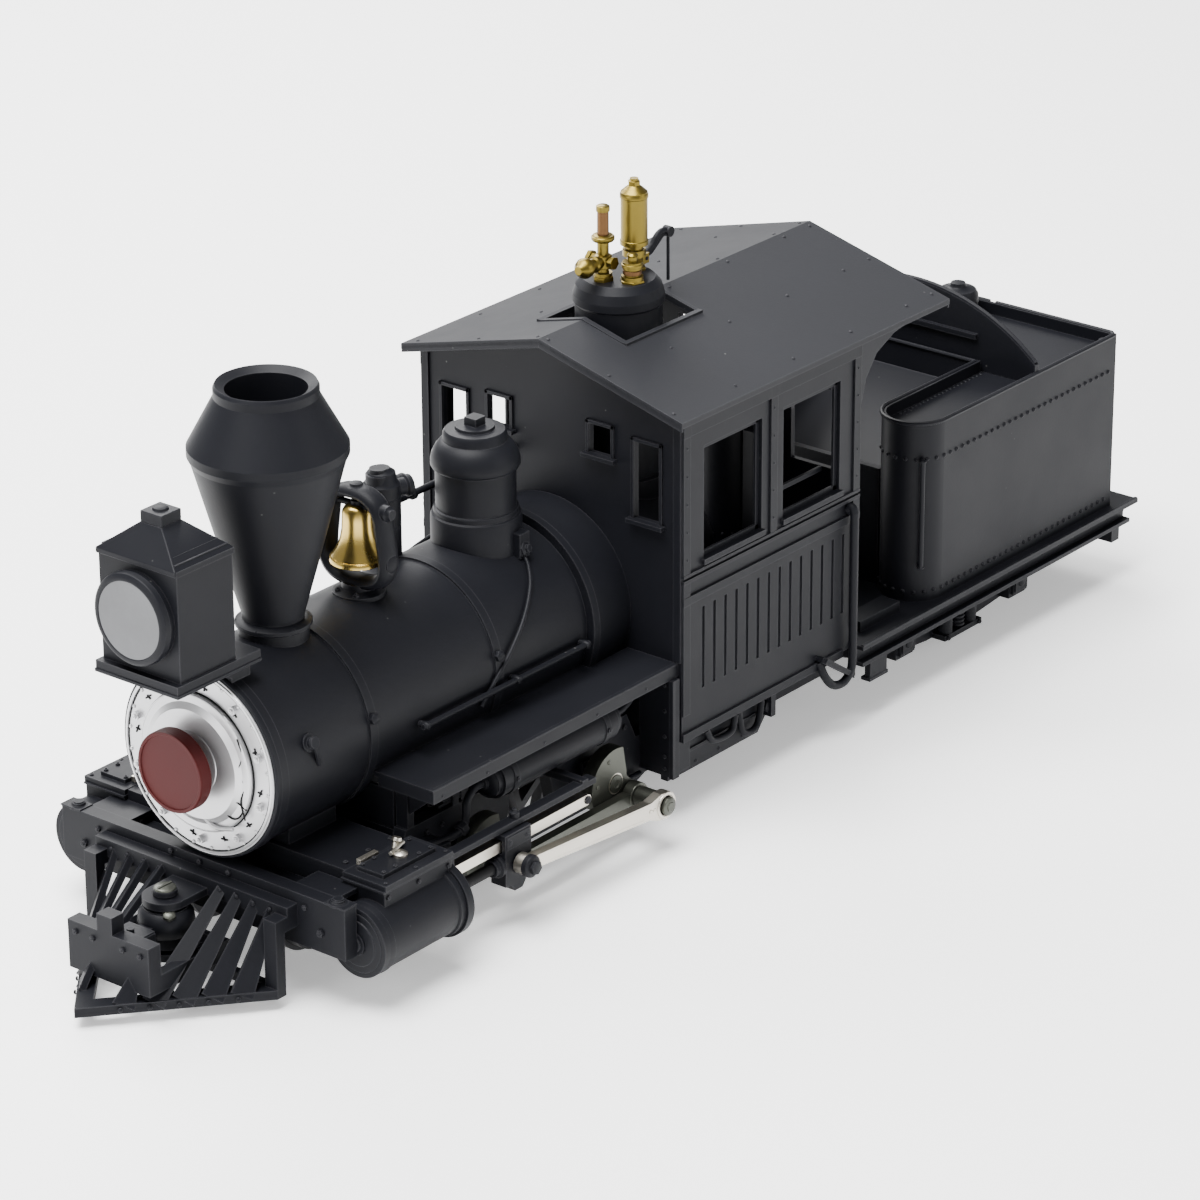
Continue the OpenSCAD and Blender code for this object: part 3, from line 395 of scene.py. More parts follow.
CAB_Y, CAB_X0, CAB_X1 = 22.6, -7.7, 32.1
WINDOWS = ((-3.0, 9.8), (14.6, 27.6))
trim = Piece("cab_trim", "engine", BLACK, "black_paint", bevel=0.07)
for s in SIDES:
    ys, ys2 = across(s, CAB_Y, CAB_Y + 0.3), across(s, CAB_Y, CAB_Y + 0.36)
    for x in (CAB_X0, 11.5, CAB_X1 - 1.5):
        trim.box((x, x + 1.5), ys, (35.9, 57.6))
    for x in (CAB_X0, CAB_X1 - 1.5):
        trim.box((x, x + 1.5), ys, (15.2, 34.6))
    trim.box((CAB_X0 - 0.03, CAB_X1 + 0.03), ys2, (31.4, 32.6))
    trim.box((CAB_X0 - 0.03, CAB_X1 - 3.4), ys2, (11.38, 12.6))
    trim.box((CAB_X0 - 0.03, CAB_X1 + 0.03), ys2, (55.6, 57.64))
    for w in WINDOWS:
        yi = across(s, CAB_Y - 0.55, CAB_Y - 0.95)
        trim.box((w[0], w[0] + 0.7), yi, (37.0, 53.2))
        trim.box((w[1] - 0.7, w[1]), yi, (37.0, 53.2))
        trim.box((w[0], w[1]), yi, (52.5, 53.2))
        trim.box((w[0], w[1]), yi, (37.0, 37.7))
    inner = across(s, CAB_Y - 2.6, CAB_Y - 3.1)
    trim.box((17.4, 18.1), inner, (39.4, 52.6))
    trim.box((18.1, 27.0), inner, (39.4, 40.1))
    trim.box((18.1, 27.0), inner, (51.9, 52.6))
    for x in (17.4, 26.4):
        trim.box((x, x + 0.6), across(s, CAB_Y - 0.8, CAB_Y - 2.8), (52.0, 52.6))
    for x in (-6.9, CAB_X1 - 0.7, 12.2):
        for z in (38, 42, 46, 50, 54):
            trim.rivet((x, s * (CAB_Y + 0.3), z), (0, s, 0), r=0.18, h=0.1, n=8)
for s in SIDES:
    fx = (CAB_X0 - 0.35, CAB_X0)
    for y0, y1, z0, z1 in ((14.6, 18.9, 42.4, 53.5), (6.9, 10.7, 50.0, 54.2)):
        a, b = across(s, y0, y1)
        trim.box(fx, (a - 0.5, a), (z0, z1 + 0.5))
        trim.box(fx, (b, b + 0.5), (z0, z1 + 0.5))
        trim.box(fx, (a - 0.5, b + 0.5), (z1, z1 + 0.5))
        trim.box((CAB_X0 - 1.0, CAB_X0), (a - 0.9, b + 0.9), (z0 - 0.6, z0))
    a, b = across(s, CAB_Y - 1.3, CAB_Y)
    trim.box(fx, (a, b), (23.2, 58.0))
    trim.plate([(s * 22.4, 58.7), (0, ROOF_RIDGE - 0.95), (0, ROOF_RIDGE - 2.0), (s * 22.4, 57.7)],
               CAB_X0 - 0.4, CAB_X0, "yz")
    a, b = across(s, 8.5, 9.3)
    trim.box((CAB_X1, CAB_X1 + 0.35), (a, b), (12.6, 55.5))
trim.box((CAB_X1, CAB_X1 + 0.35), (-9.3, 9.3), (55.0, 55.8))
trim.done()

roof_lip = Piece("roof_edges", "engine", ROOF, "roof_paint", bevel=0.05)
for x in (-10.0, 50.4):
    for s in SIDES:
        roof_lip.plate([(s * 24.35, ROOF_EAVE - 1.3), (s * 24.35, ROOF_EAVE - 0.2), (0, ROOF_RIDGE - 0.2),
                        (0, ROOF_RIDGE - 1.3)], x, x + 0.3, "yz")
for x in (38.5, 44.5):
    for s in SIDES:
        roof_lip.plate([(s * 23.4, ROOF_EAVE - 1.0), (s * 23.4, ROOF_EAVE + 0.0), (0, ROOF_RIDGE - 0.7),
                        (0, ROOF_RIDGE - 1.7)], x, x + 0.6, "yz")
roof_lip.done()

# ---- boiler: band bolts, side fittings and rail knobs ----

boiler_bits = Piece("boiler_fittings", "engine", BLACK, "black_paint", bevel=0.05)
for x in (-59.4, -34.5):
    for s in SIDES:
        p, nrm = around(x, BOILER_R + 0.3, 90 + s * 78)
        boiler_bits.turned(p, nrm, [(-0.2, 0.8), (0.5, 0.8), (0.7, 0.5)], 6)
for s in SIDES:
    q, nrm = around(-71.2, BOILER_R, 90 - s * 74)
    boiler_bits.turned(q, nrm,
                       [(-0.2, 1.2), (0.3, 1.2), (0.4, 0.7), (0.9, 0.7), (1.0, 0.9), (1.3, 0.8)], 12)
    q, nrm = Vector(q), Vector(nrm)
    boiler_bits.tube([q + nrm * 0.7, q + nrm * 0.9 + Vector((0.6, 0, -1.6)),
                      q + nrm * 0.5 + Vector((1.4, 0, -3.6))], 0.34, n=8)
    for x in (-50.4, -32.0, -17.6):
        boiler_bits.turned((x, s * 14.1, 27.1), (0, s, 0),
                           [(-0.75, 0.5), (0, 0.62), (0.5, 0.45), (0.6, 0.2)], 12)
boiler_bits.done()

# ---- smokebox front ----

front = Piece("smokebox_details", "engine", SILVER, "smokebox_silver", bevel=0.04)
FRONT_X, PLATE_Z = -78.1, BOILER_Z + 0.3
for r0, r1, h in ((12.7, 12.2, 0.3), (9.5, 9.1, 0.25)):
    base = FRONT_X if r0 > 10 else FRONT_X - 0.6
    ridge = [(0, r0), (h, r0 - 0.12), (h + 0.05, r1 + 0.1), (0.02, r1)]
    front.turned((base + 0.1, 0, BOILER_Z), FORWARD, ridge, 72)
for i in range(24):
    a = math.radians(15 * i + 7)
    front.rivet((FRONT_X, 11.9 * math.cos(a), BOILER_Z + 11.9 * math.sin(a)), FORWARD, r=0.28, h=0.22)
for i in range(10):
    a = math.radians(36 * i + 18)
    front.bolt((FRONT_X - 0.6, 11 * math.cos(a), BOILER_Z + 11 * math.sin(a)), FORWARD, 0.34, 0.22)
front.turned((-79.2, 0, PLATE_Z), FORWARD, [(0, 4.4), (0.3, 4.2), (0.6, 3.2), (1.2, 2.8), (3.1, 2.7)], 40)
front.turned((FRONT_X - 0.6, 0, BOILER_Z), FORWARD, [(0, 9.3), (0.15, 9.2), (0.2, 8.9)], 72)
front.tube([(FRONT_X - 0.9, -1.0, 21.4), (FRONT_X - 1.1, -3.6, 20.4), (FRONT_X - 0.9, -6.4, 20.9)], 0.3,
           n=8)
front.done()
rim = Piece("smokebox_rim", "engine", BLACK, "black_paint", bevel=0.05)
rim.turned((FRONT_X + 0.9, 0, BOILER_Z), FORWARD, [(-0.6, 13.28), (0.55, 13.28), (0.75, 13.1)], 96)
rim.done()
plate = Piece("number_plate_rim", "engine", RED, "plate_red", bevel=0.05)
plate.turned((-81.5, 0, PLATE_Z), FORWARD, [(0, 5.2), (0.1, 5.5), (1.75, 5.5)], 64)
plate.turned((-83.25, 0, PLATE_Z), FORWARD, [(0, 5.5), (0.3, 5.42), (0.3, 5.0), (0.1, 4.95)], 64)
plate.done()

# ---- headlight ----

LAMP_X, LAMP_Z = -88.6, 51.6
lamp = Piece("headlight_details", "engine", BLACK, "black_paint", bevel=0.12)
lamp.turned((LAMP_X - 0.3, 0, LAMP_Z), FORWARD,
            [(-0.5, 6.2), (0.35, 6.1), (0.7, 5.6), (0.7, 5.15), (0.1, 5.0)], 56)
base = [(-88.0, -6.75), (-77.3, -6.75), (-77.3, 6.75), (-88.0, 6.75)]
peak = [(-84.9, -1.8), (-81.3, -1.8), (-81.3, 1.8), (-84.9, 1.8)]
lamp.poly([[(x, y, z) for x, y in ring] for ring, z in ((base, 58.5), (base, 59.2), (peak, 62.9))])
lamp.poly([[(x, y, z) for x, y in peak] for z in (62.9, 64.4)])
lamp.turned((-83.1, 0, 64.3), UP, [(0, 1.1), (0.35, 1.0), (0.5, 0.6)], 14)
lamp.box((LAMP_X - 0.15, -73.4), (-7.15, 7.15), (42.5, 43.0))
for x in (-87.2, -79):
    for y in (-6.2, 6.2):
        lamp.bolt((x, y, 44.1), UP, 0.45, 0.4)
lamp.done()

# ---- smokebox: fine dark seam lines, ticks and a painted reflection of the hub on the front ----

seams_and_hub_reflection = Piece("smokebox_seams_and_hub_reflection", "engine", DARK, "black_paint", bevel=0)
for i in range(12):
    a = math.radians(30 * i + 8)
    for r0, r1, swing in ((10.2, 10.9, 0), (10.5, 10.8, 0.05)):
        seams_and_hub_reflection.rod((FRONT_X - 0.05, r0 * math.cos(a + swing), BOILER_Z + r0 * math.sin(a + swing)),
                  (FRONT_X - 0.05, r1 * math.cos(a - swing),
                   BOILER_Z + r1 * math.sin(a - swing)), 0.13, n=6)
# Dark rings along the door and rim seams; the half ring round one side of the hub is a painted reflection of
# the hub.
for r, x, a0, a1 in ((9.5, -78.15, 0, 360), (12.15, -78.1, 0, 360), (6.9, -79.1, 150, 330)):
    arc = []
    for a in range(a0, a1 + 1, 6):
        arc.append((x, r * math.cos(math.radians(a)), BOILER_Z + r * math.sin(math.radians(a))))
    seams_and_hub_reflection.tube(arc, 0.1, n=6, smooth=False)
# Wavy dark strokes beside the hub: a painted reflection of the hub on the silver.
for line in (((-5.0, 25.2), (-6.2, 24.4), (-7.2, 24.9), (-8.6, 24.1)),
             ((-7.6, 33.8), (-8.2, 31.5), (-7.7, 29.5), (-8.4, 27.3), (-7.9, 25.2), (-8.3, 22.6)),
             ((-4.6, 23.4), (-6.1, 22.4), (-7.4, 22.8), (-8.3, 24.2))):
    seams_and_hub_reflection.tube([(-79.0 if abs(y) < 8 else -78.75, y, z) for y, z in line], 0.12, n=6)
seams_and_hub_reflection.done()

# ---- bell and its hoop ----

BELL_X, BELL_PIVOT = -47.0, 53.3
bell = Piece("bell_casting", "bell", BRASS, "polished_brass", bevel=0)
bell.turned((BELL_X, 0, 0), UP, [(53.45, 0.2), (53.45, 0.8), (53.35, 1.25), (53.0, 1.7), (52.5, 1.95),
            (51.4, 2.0), (50.0, 2.08), (48.8, 2.3), (47.8, 2.65), (47.0, 3.1), (46.35, 3.55), (45.95, 3.72),
            (45.6, 3.75), (45.5, 3.6), (45.6, 3.4), (46.4, 3.0), (47.6, 2.3), (49.0, 1.8), (52.0, 1.4),
            (52.6, 0.2)], 56)
bell.turned((BELL_X, 0, 46.15), UP, [(-0.1, 3.6), (0.05, 3.74), (0.2, 3.6)], 56)
bell.turned((BELL_X, 0, 45.3), UP,
            [(0, 0.25), (0.2, 0.7), (0.7, 0.85), (1.2, 0.7), (1.4, 0.25), (6.5, 0.22)], 14)
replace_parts(bell.done(), "bell")
bell_pin = Piece("bell_pin", "bell", BLACK, "black_paint", bevel=0.03)
bell_pin.rod((BELL_X, -4.0, BELL_PIVOT), (BELL_X, 4.0, BELL_PIVOT), 0.45)
bell_pin.turned((BELL_X, 0, BELL_PIVOT + 0.1), UP, [(0, 0.8), (0.55, 0.8), (0.7, 0.5)], 12)
bell_pin.done()

hoop = Piece("bell_hoop", "engine", BLACK, "black_paint", bevel=0)
half = [(0.0, 55.2), (1.8, 55.05), (3.4, 54.2), (4.3, 52.8), (4.6, 51.2), (4.85, 49.4), (5.1, 47.6),
        (5.15, 46.0), (4.8, 44.6), (3.8, 43.5), (2.2, 42.9), (0.0, 42.7)]
outline = half + [(-y, z) for y, z in half[-2:0:-1]]
ring = spline([(BELL_X, y, z) for y, z in outline + outline[:1]], 5)[:-1]
rows = []
for i, p in enumerate(ring):
    along = (ring[(i + 1) % len(ring)] - ring[i - 1]).normalized()
    out = along.cross(Vector(AFT))
    rows.append([p + Vector((1.7 * math.cos(a), 0, 0)) + out * 0.95 * math.sin(a)
                 for a in (math.radians(30 * k) for k in range(12))])
hoop.poly(rows + rows[:1], caps=False)
bmesh.ops.remove_doubles(hoop.bm, verts=hoop.bm.verts, dist=0.001)
hoop.turned((BELL_X, 0, 55.6), UP, [(-0.4, 1.3), (0.25, 1.25), (0.4, 0.9), (0.75, 0.85), (0.9, 0.4)], 16)
for s in SIDES:
    hoop.turned((BELL_X, s * 4.6, BELL_PIVOT), (0, s, 0),
                [(-0.5, 1.1), (0.9, 1.1), (1.15, 0.8), (1.5, 0.7)], 14)
    hoop.turned((BELL_X, s * 5.1, 46.4), (0, s, 0), [(-0.4, 1.2), (0.9, 1.2), (1.1, 0.9)], 14)
hoop.turned((BELL_X, 0, 40.3), UP, [(0, 3.6), (1.1, 3.5), (1.4, 2.6), (1.6, 2.3), (2.4, 2.2)], 24)
for sx in SIDES:
    for s in SIDES:
        hoop.bolt((BELL_X + 2.4 * sx, 1.6 * s, 41.3), UP, 0.4, 0.5)
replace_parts(hoop.done(), "bell_stand")

# ---- domes, chimney and turret ----

domes = Piece("dome_details", "engine", BLACK, "black_paint", bevel=0.05)
SAND_X = -23.3
# Each point of the sand pipe: x, and the angle down the boiler's side from its top.
SAND_PIPE = ((-21.9, 30), (-22.6, 38), (-24.6, 50), (-28.0, 64), (-32.0, 78), (-36.2, 93), (-38.0, 104))
shell = Piece("sand_dome_shell", "engine", BLACK, "black_paint", bevel=0)
shell.turned((SAND_X, 0, 0), UP, [(38, 6.15), (44.3, 6.15), (44.75, 6.0), (44.9, 5.7), (45.3, 5.75),
             (45.6, 5.68), (45.7, 5.42), (51.2, 5.42), (51.4, 5.85), (51.7, 6.02), (52.4, 6.02),
             (53.2, 5.85), (54.1, 5.4), (54.9, 4.75), (55.1, 4.35), (56.1, 4.3), (56.5, 4.0), (56.6, 2.7),
             (57.0, 2.6), (57.1, 0.2)], 64)
shell.box((SAND_X - 1.0, SAND_X + 1.0), (-1.0, 1.0), (57.0, 58.2))
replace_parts(shell.done(), "sand_dome")
for s in SIDES:
    lug = Vector((-21.9, s * 6.9, 40.6))
    domes.turned(lug, (0.1, s, 0.25), [(-1.2, 1.0), (0.5, 1.0), (0.7, 0.6), (1.1, 0.6)], 6)
    domes.box((-22.9, -20.9), across(s, 5.2, 7.2), (39.4, 42.9))
    domes.tube([around(x, BOILER_R + 0.45, 90 - s * angle)[0] for x, angle in SAND_PIPE], 0.27, n=10)
STACK_X = -63.4
domes.turned((STACK_X, 0, 0), UP, [(42.2, 4.7), (42.4, 5.0), (42.9, 5.0), (43.2, 4.5), (43.3, 4.1)], 48)
for i in range(6):
    a = math.radians(60 * i + 15)
    domes.rivet((STACK_X + 4.75 * math.cos(a), 4.75 * math.sin(a), 42.85), UP, r=0.28, h=0.25, n=8)
TURRET = (-35.4, 6.0)
domes.turned((*TURRET, 0), UP, [(39.5, 2.6), (45.0, 2.5), (45.4, 2.0), (48.8, 1.95), (49.2, 2.45),
             (51.0, 2.5), (51.5, 2.1), (52.7, 1.9), (53.1, 1.3), (53.3, 1.2)], 24)
domes.turned((*TURRET, 49.9), (1, -0.35, 0), [(0, 1.2), (3.4, 1.2), (3.6, 1.5), (4.3, 1.5), (4.6, 0.9)], 14)
domes.turned((*TURRET, 47.2), (0.2, 1, 0), [(0, 1.0), (3.0, 1.0), (3.2, 1.35), (3.9, 1.35), (4.1, 0.6)], 14)
for x in (-28.2, -18.6, -11.0):
    domes.turned((x, 6.9, 47), AFT, [(-0.45, 0.55), (-0.3, 0.85), (0.3, 0.85), (0.45, 0.55)], 10)
domes.done()

# ---- whistle and safety valves ----

brass = Piece("valve_turnings", "engine", VALVE, "valve_brass", bevel=0.03)
WHISTLE_X = 10.6
brass.turned((WHISTLE_X, 0, 0), UP, [(69.2, 1.7), (69.7, 1.7), (69.9, 1.2)], 6)
brass.turned((WHISTLE_X, 0, 0), UP, [(72.7, 1.2), (72.9, 1.95), (73.5, 1.95), (73.6, 1.87)], 28)
brass.turned((WHISTLE_X, 0, 0), UP,
             [(79.5, 1.87), (79.6, 1.97), (80.1, 1.97), (80.4, 1.8), (80.9, 1.3), (81.1, 0.9)], 28)
brass.turned((WHISTLE_X, 0, 0), UP, [(81.2, 0.85), (81.9, 0.9), (82.1, 0.5)], 6)
SAFETY_X, SAFETY_Y = 6.4, -3.0
for z, r in ((69.3, 1.75), (71.6, 1.5)):
    brass.turned((SAFETY_X, SAFETY_Y, z), UP, [(-0.1, r), (0.3, r), (0.45, r - 0.3)], 6 if z < 70 else 20)
brass.turned((SAFETY_X, SAFETY_Y, 72.9), UP, [(0, 0.75), (0.2, 0.8), (0.5, 0.5)], 12)
VALVE_X, VALVE_Y = 4.6, 0.6
brass.turned((VALVE_X, VALVE_Y, 69.3), UP, [(-0.1, 1.5), (0.6, 1.5), (0.8, 1.0)], 6)
brass.turned((VALVE_X, VALVE_Y, 71.0), UP, [(0, 0.8), (0.2, 1.2), (1.8, 1.2), (2.0, 0.8)], 18)
brass.turned((VALVE_X - 1.4, VALVE_Y, 72), FORWARD, [(0, 0.7), (0.3, 1.15), (0.6, 1.15), (0.9, 0.8),
             (1.6, 0.9), (2.0, 1.35), (2.7, 1.45), (3.3, 1.2), (3.7, 0.7), (4.0, 0.6)], 18)
brass.turned((VALVE_X, VALVE_Y + 0.9, 72), (0, 1, 0), [(0, 0.8), (0.8, 0.8), (0.9, 1.1), (1.5, 1.1)], 6)
brass.turned((VALVE_X, VALVE_Y - 0.7, 72), (0, -1, 0), [(0, 0.7), (0.7, 0.7), (0.8, 0.95), (1.3, 0.95)], 6)
brass.turned((VALVE_X, VALVE_Y, 74.9), UP, [(0, 1.45), (0.2, 1.6), (0.6, 1.6), (0.85, 1.2)], 20)
brass.turned((VALVE_X, VALVE_Y, 79.0), UP, [(0, 0.75), (0.1, 0.95), (0.8, 0.95), (0.95, 0.7)], 14)
brass.done()
copper = Piece("copper_pipe", "engine", COPPER, "valve_brass", bevel=0)
copper.turned((VALVE_X, VALVE_Y, 75.6), UP, [(0, 0.82), (3.5, 0.8)], 20)
copper.turned((SAFETY_X, SAFETY_Y, 70.4), UP, [(0, 1.22), (0.1, 1.3), (0.6, 1.3), (0.7, 1.2)], 20)
copper.done()
lever = Piece("whistle_lever_rod", "whistle_lever", BLACK, "black_paint", bevel=0.03)
lever.tube([(13.4, 0, 70.8), (14.6, 0, 71.6), (15.6, 0, 72.6), (16.8, 0, 73.0), (18.0, 0, 72.7)], 0.5, n=10)
lever.turned((18.0, -0.6, 72.7), (0, 1, 0), [(0, 0.75), (1.2, 0.75)], 14)
lever.rod((18.0, 0, 72.5), (18.05, 0, 65.6), 0.24, n=8)
lever.done()

# ---- pilot, beam and front coupling ----

PILOT_TIP, PILOT_REAR = Vector((-102.3, 0)), Vector((-82.8, 16.7))
pilot_bits = Piece("pilot_fastenings", "engine", BLACK, "black_paint", bevel=0.04)
for s in SIDES:
    for i in range(5):
        if i:
            pilot_bits.rivet((-80.75, s * (2.4 + 2.85 * i), 12.6), (-1, 0, 0.2), r=0.34, h=0.25, n=8)
        foot = PILOT_TIP.lerp(PILOT_REAR, 0.225 + 0.145 * i)
        pilot_bits.rivet((foot.x - 0.15, s * (foot.y + 0.15), 2.25), (-0.65, s * 0.75, 0), r=0.34, h=0.25,
                         n=8)
    pilot_bits.bolt((-78.7, s * 20.6, 10.6), FORWARD, 0.55, 0.35)
    pilot_bits.bolt((-78.7, s * 18.0, 13.4), FORWARD, 0.4, 0.25)
    pilot_bits.turned((-77.5, s * 22.6, 14.8), UP,
                      [(0, 1.3), (0.35, 1.3), (0.4, 0.95), (0.7, 0.9), (0.8, 0.6)], 16)
    pilot_bits.box((-78.75, -76.3), across(s, 21.2, 24.7), (14.9, 15.15))
    for y in (2.6, 5.6):
        pilot_bits.bolt((-95.85, s * y, 9.4), FORWARD, 0.4, 0.25)
for y in (-5, 0, 5):
    pilot_bits.bolt((-78.7, y, 14.3), FORWARD, 0.4, 0.25)
pilot_bits.done()
knob = Piece("coupler_knob", "front_coupler", BLACK, "black_paint", bevel=0.05)
knob.turned((-85.2, 0, 7.0), UP,
            [(0, 2.9), (0.5, 3.4), (1.6, 3.75), (2.8, 3.6), (3.5, 3.1), (3.85, 2.4)], 36)
knob.box((-92.0, -89.6), (-2.35, -1.9), (6.8, 9.2))
knob.box((-92.0, -89.6), (1.9, 2.35), (6.8, 9.2))
knob.done()
screw = Piece("coupler_screw", "front_coupler", CRANK_AND_SHADED_ROD, "crank_metal", bevel=0.04)
screw.turned((-85.2, 0, 13.0), UP, [(0, 1.5), (0.3, 1.45), (0.5, 1.1)], 20)
screw.box((-86.4, -84.0), (-0.2, 0.2), (13.3, 13.62))
screw.turned((-86.9, -2.2, 10.4), (-0.35, -0.4, 1), [(0, 0.9), (0.5, 0.9), (0.7, 0.6)], 6)
screw.done()

# ---- cylinders and guides ----

CYL_Y, CYL_Z = 24.0, 9.2
cyl_bits = Piece("cylinder_details", "engine", BLACK, "black_paint", bevel=0.04)
bright_bits = Piece("chest_fittings", "engine", NICKEL, "rod_nickel", bevel=0.03)
for s in SIDES:
    cyl_bits.turned((-76.3, s * CYL_Y, CYL_Z), FORWARD, [(0, 1.1), (0.2, 1.0), (0.25, 0.3)], 16)
    cyl_bits.turned((-75.75, s * CYL_Y, CYL_Z), FORWARD,
                    [(-0.1, 4.2), (0.12, 4.1), (0.14, 3.2), (0.3, 3.1)], 40)
    cyl_bits.turned((-74.7, s * CYL_Y, CYL_Z), AFT, [(-0.2, 4.8), (0.4, 4.86), (0.9, 4.86), (1.0, 4.7)], 48)
    cyl_bits.turned((-61.2, s * CYL_Y, CYL_Z), AFT, [(-0.2, 4.7), (0.0, 4.95), (0.9, 4.95)], 48)
    cyl_bits.turned((-57.9, s * CYL_Y, CYL_Z), AFT, [(0, 1.7), (0.4, 1.7), (0.7, 1.3), (1.1, 1.2)], 16)
    cyl_bits.turned((-57.0, s * CYL_Y, CYL_Z), AFT, [(0, 1.3), (1.2, 1.25), (1.8, 1.0)], 20)
    for x in (-70.6, -68.4, -63.8, -61.6):
        for y in (20.6, 24.2):
            cyl_bits.bolt((x, s * y, 16.95), UP, 0.34, 0.28)
    for x in (-71.9, -66.1, -60.3):
        cyl_bits.bolt((x, s * 26.0, 14.6), (0, s, 0), 0.36, 0.22)
        cyl_bits.bolt((x, s * 25.6, 16.35), UP, 0.3, 0.2)
    cyl_bits.box((-72.9, -59.3), across(s, 18.9, 26.15), (15.35, 15.65))
    for x in (-70.4, -66.1, -61.8):
        cyl_bits.bolt((x, s * 17.6, 16.2), UP, 0.4, 0.3)
    bright_bits.box((-70.2, -66.8), across(s, 19.2, 20.0), (16.5, 17.3))
    bright_bits.turned((-65.6, s * 22.6, 16.9), UP, [(0, 1.0), (0.5, 1.0), (0.75, 0.6)], 14)
    bright_bits.turned((-64.3, s * 20.6, 16.9), (0.3, 0, 1),
                       [(0, 0.5), (0.9, 0.5), (1.1, 0.75), (1.5, 0.6)], 10)
    bright_bits.rod((-66.8, s * 22.0, 17.5), (-63.2, s * 21.0, 17.5), 0.28, n=8)
    cyl_bits.box((-59.2, -57.7), across(s, 22.6, 24.8), (10.9, 15.0))
    for z in (12.0, 14.3):
        cyl_bits.bolt((-58.5, s * 24.75, z), (0, s, 0), 0.32, 0.2)
    cyl_bits.turned((-30.4, s * 24.55, 12.05), (0, s, 0),
                    [(0, 0.6), (0.25, 0.6), (0.3, 0.3), (0.4, 0.3)], 6)
    cyl_bits.turned((-44.5, s * 23.8, 14.65), UP, [(0, 0.7), (0.8, 0.7), (0.9, 0.35), (1.3, 0.3)], 10)
cyl_bits.done()
bright_bits.done()

# ---- rods, crossheads and pins ----

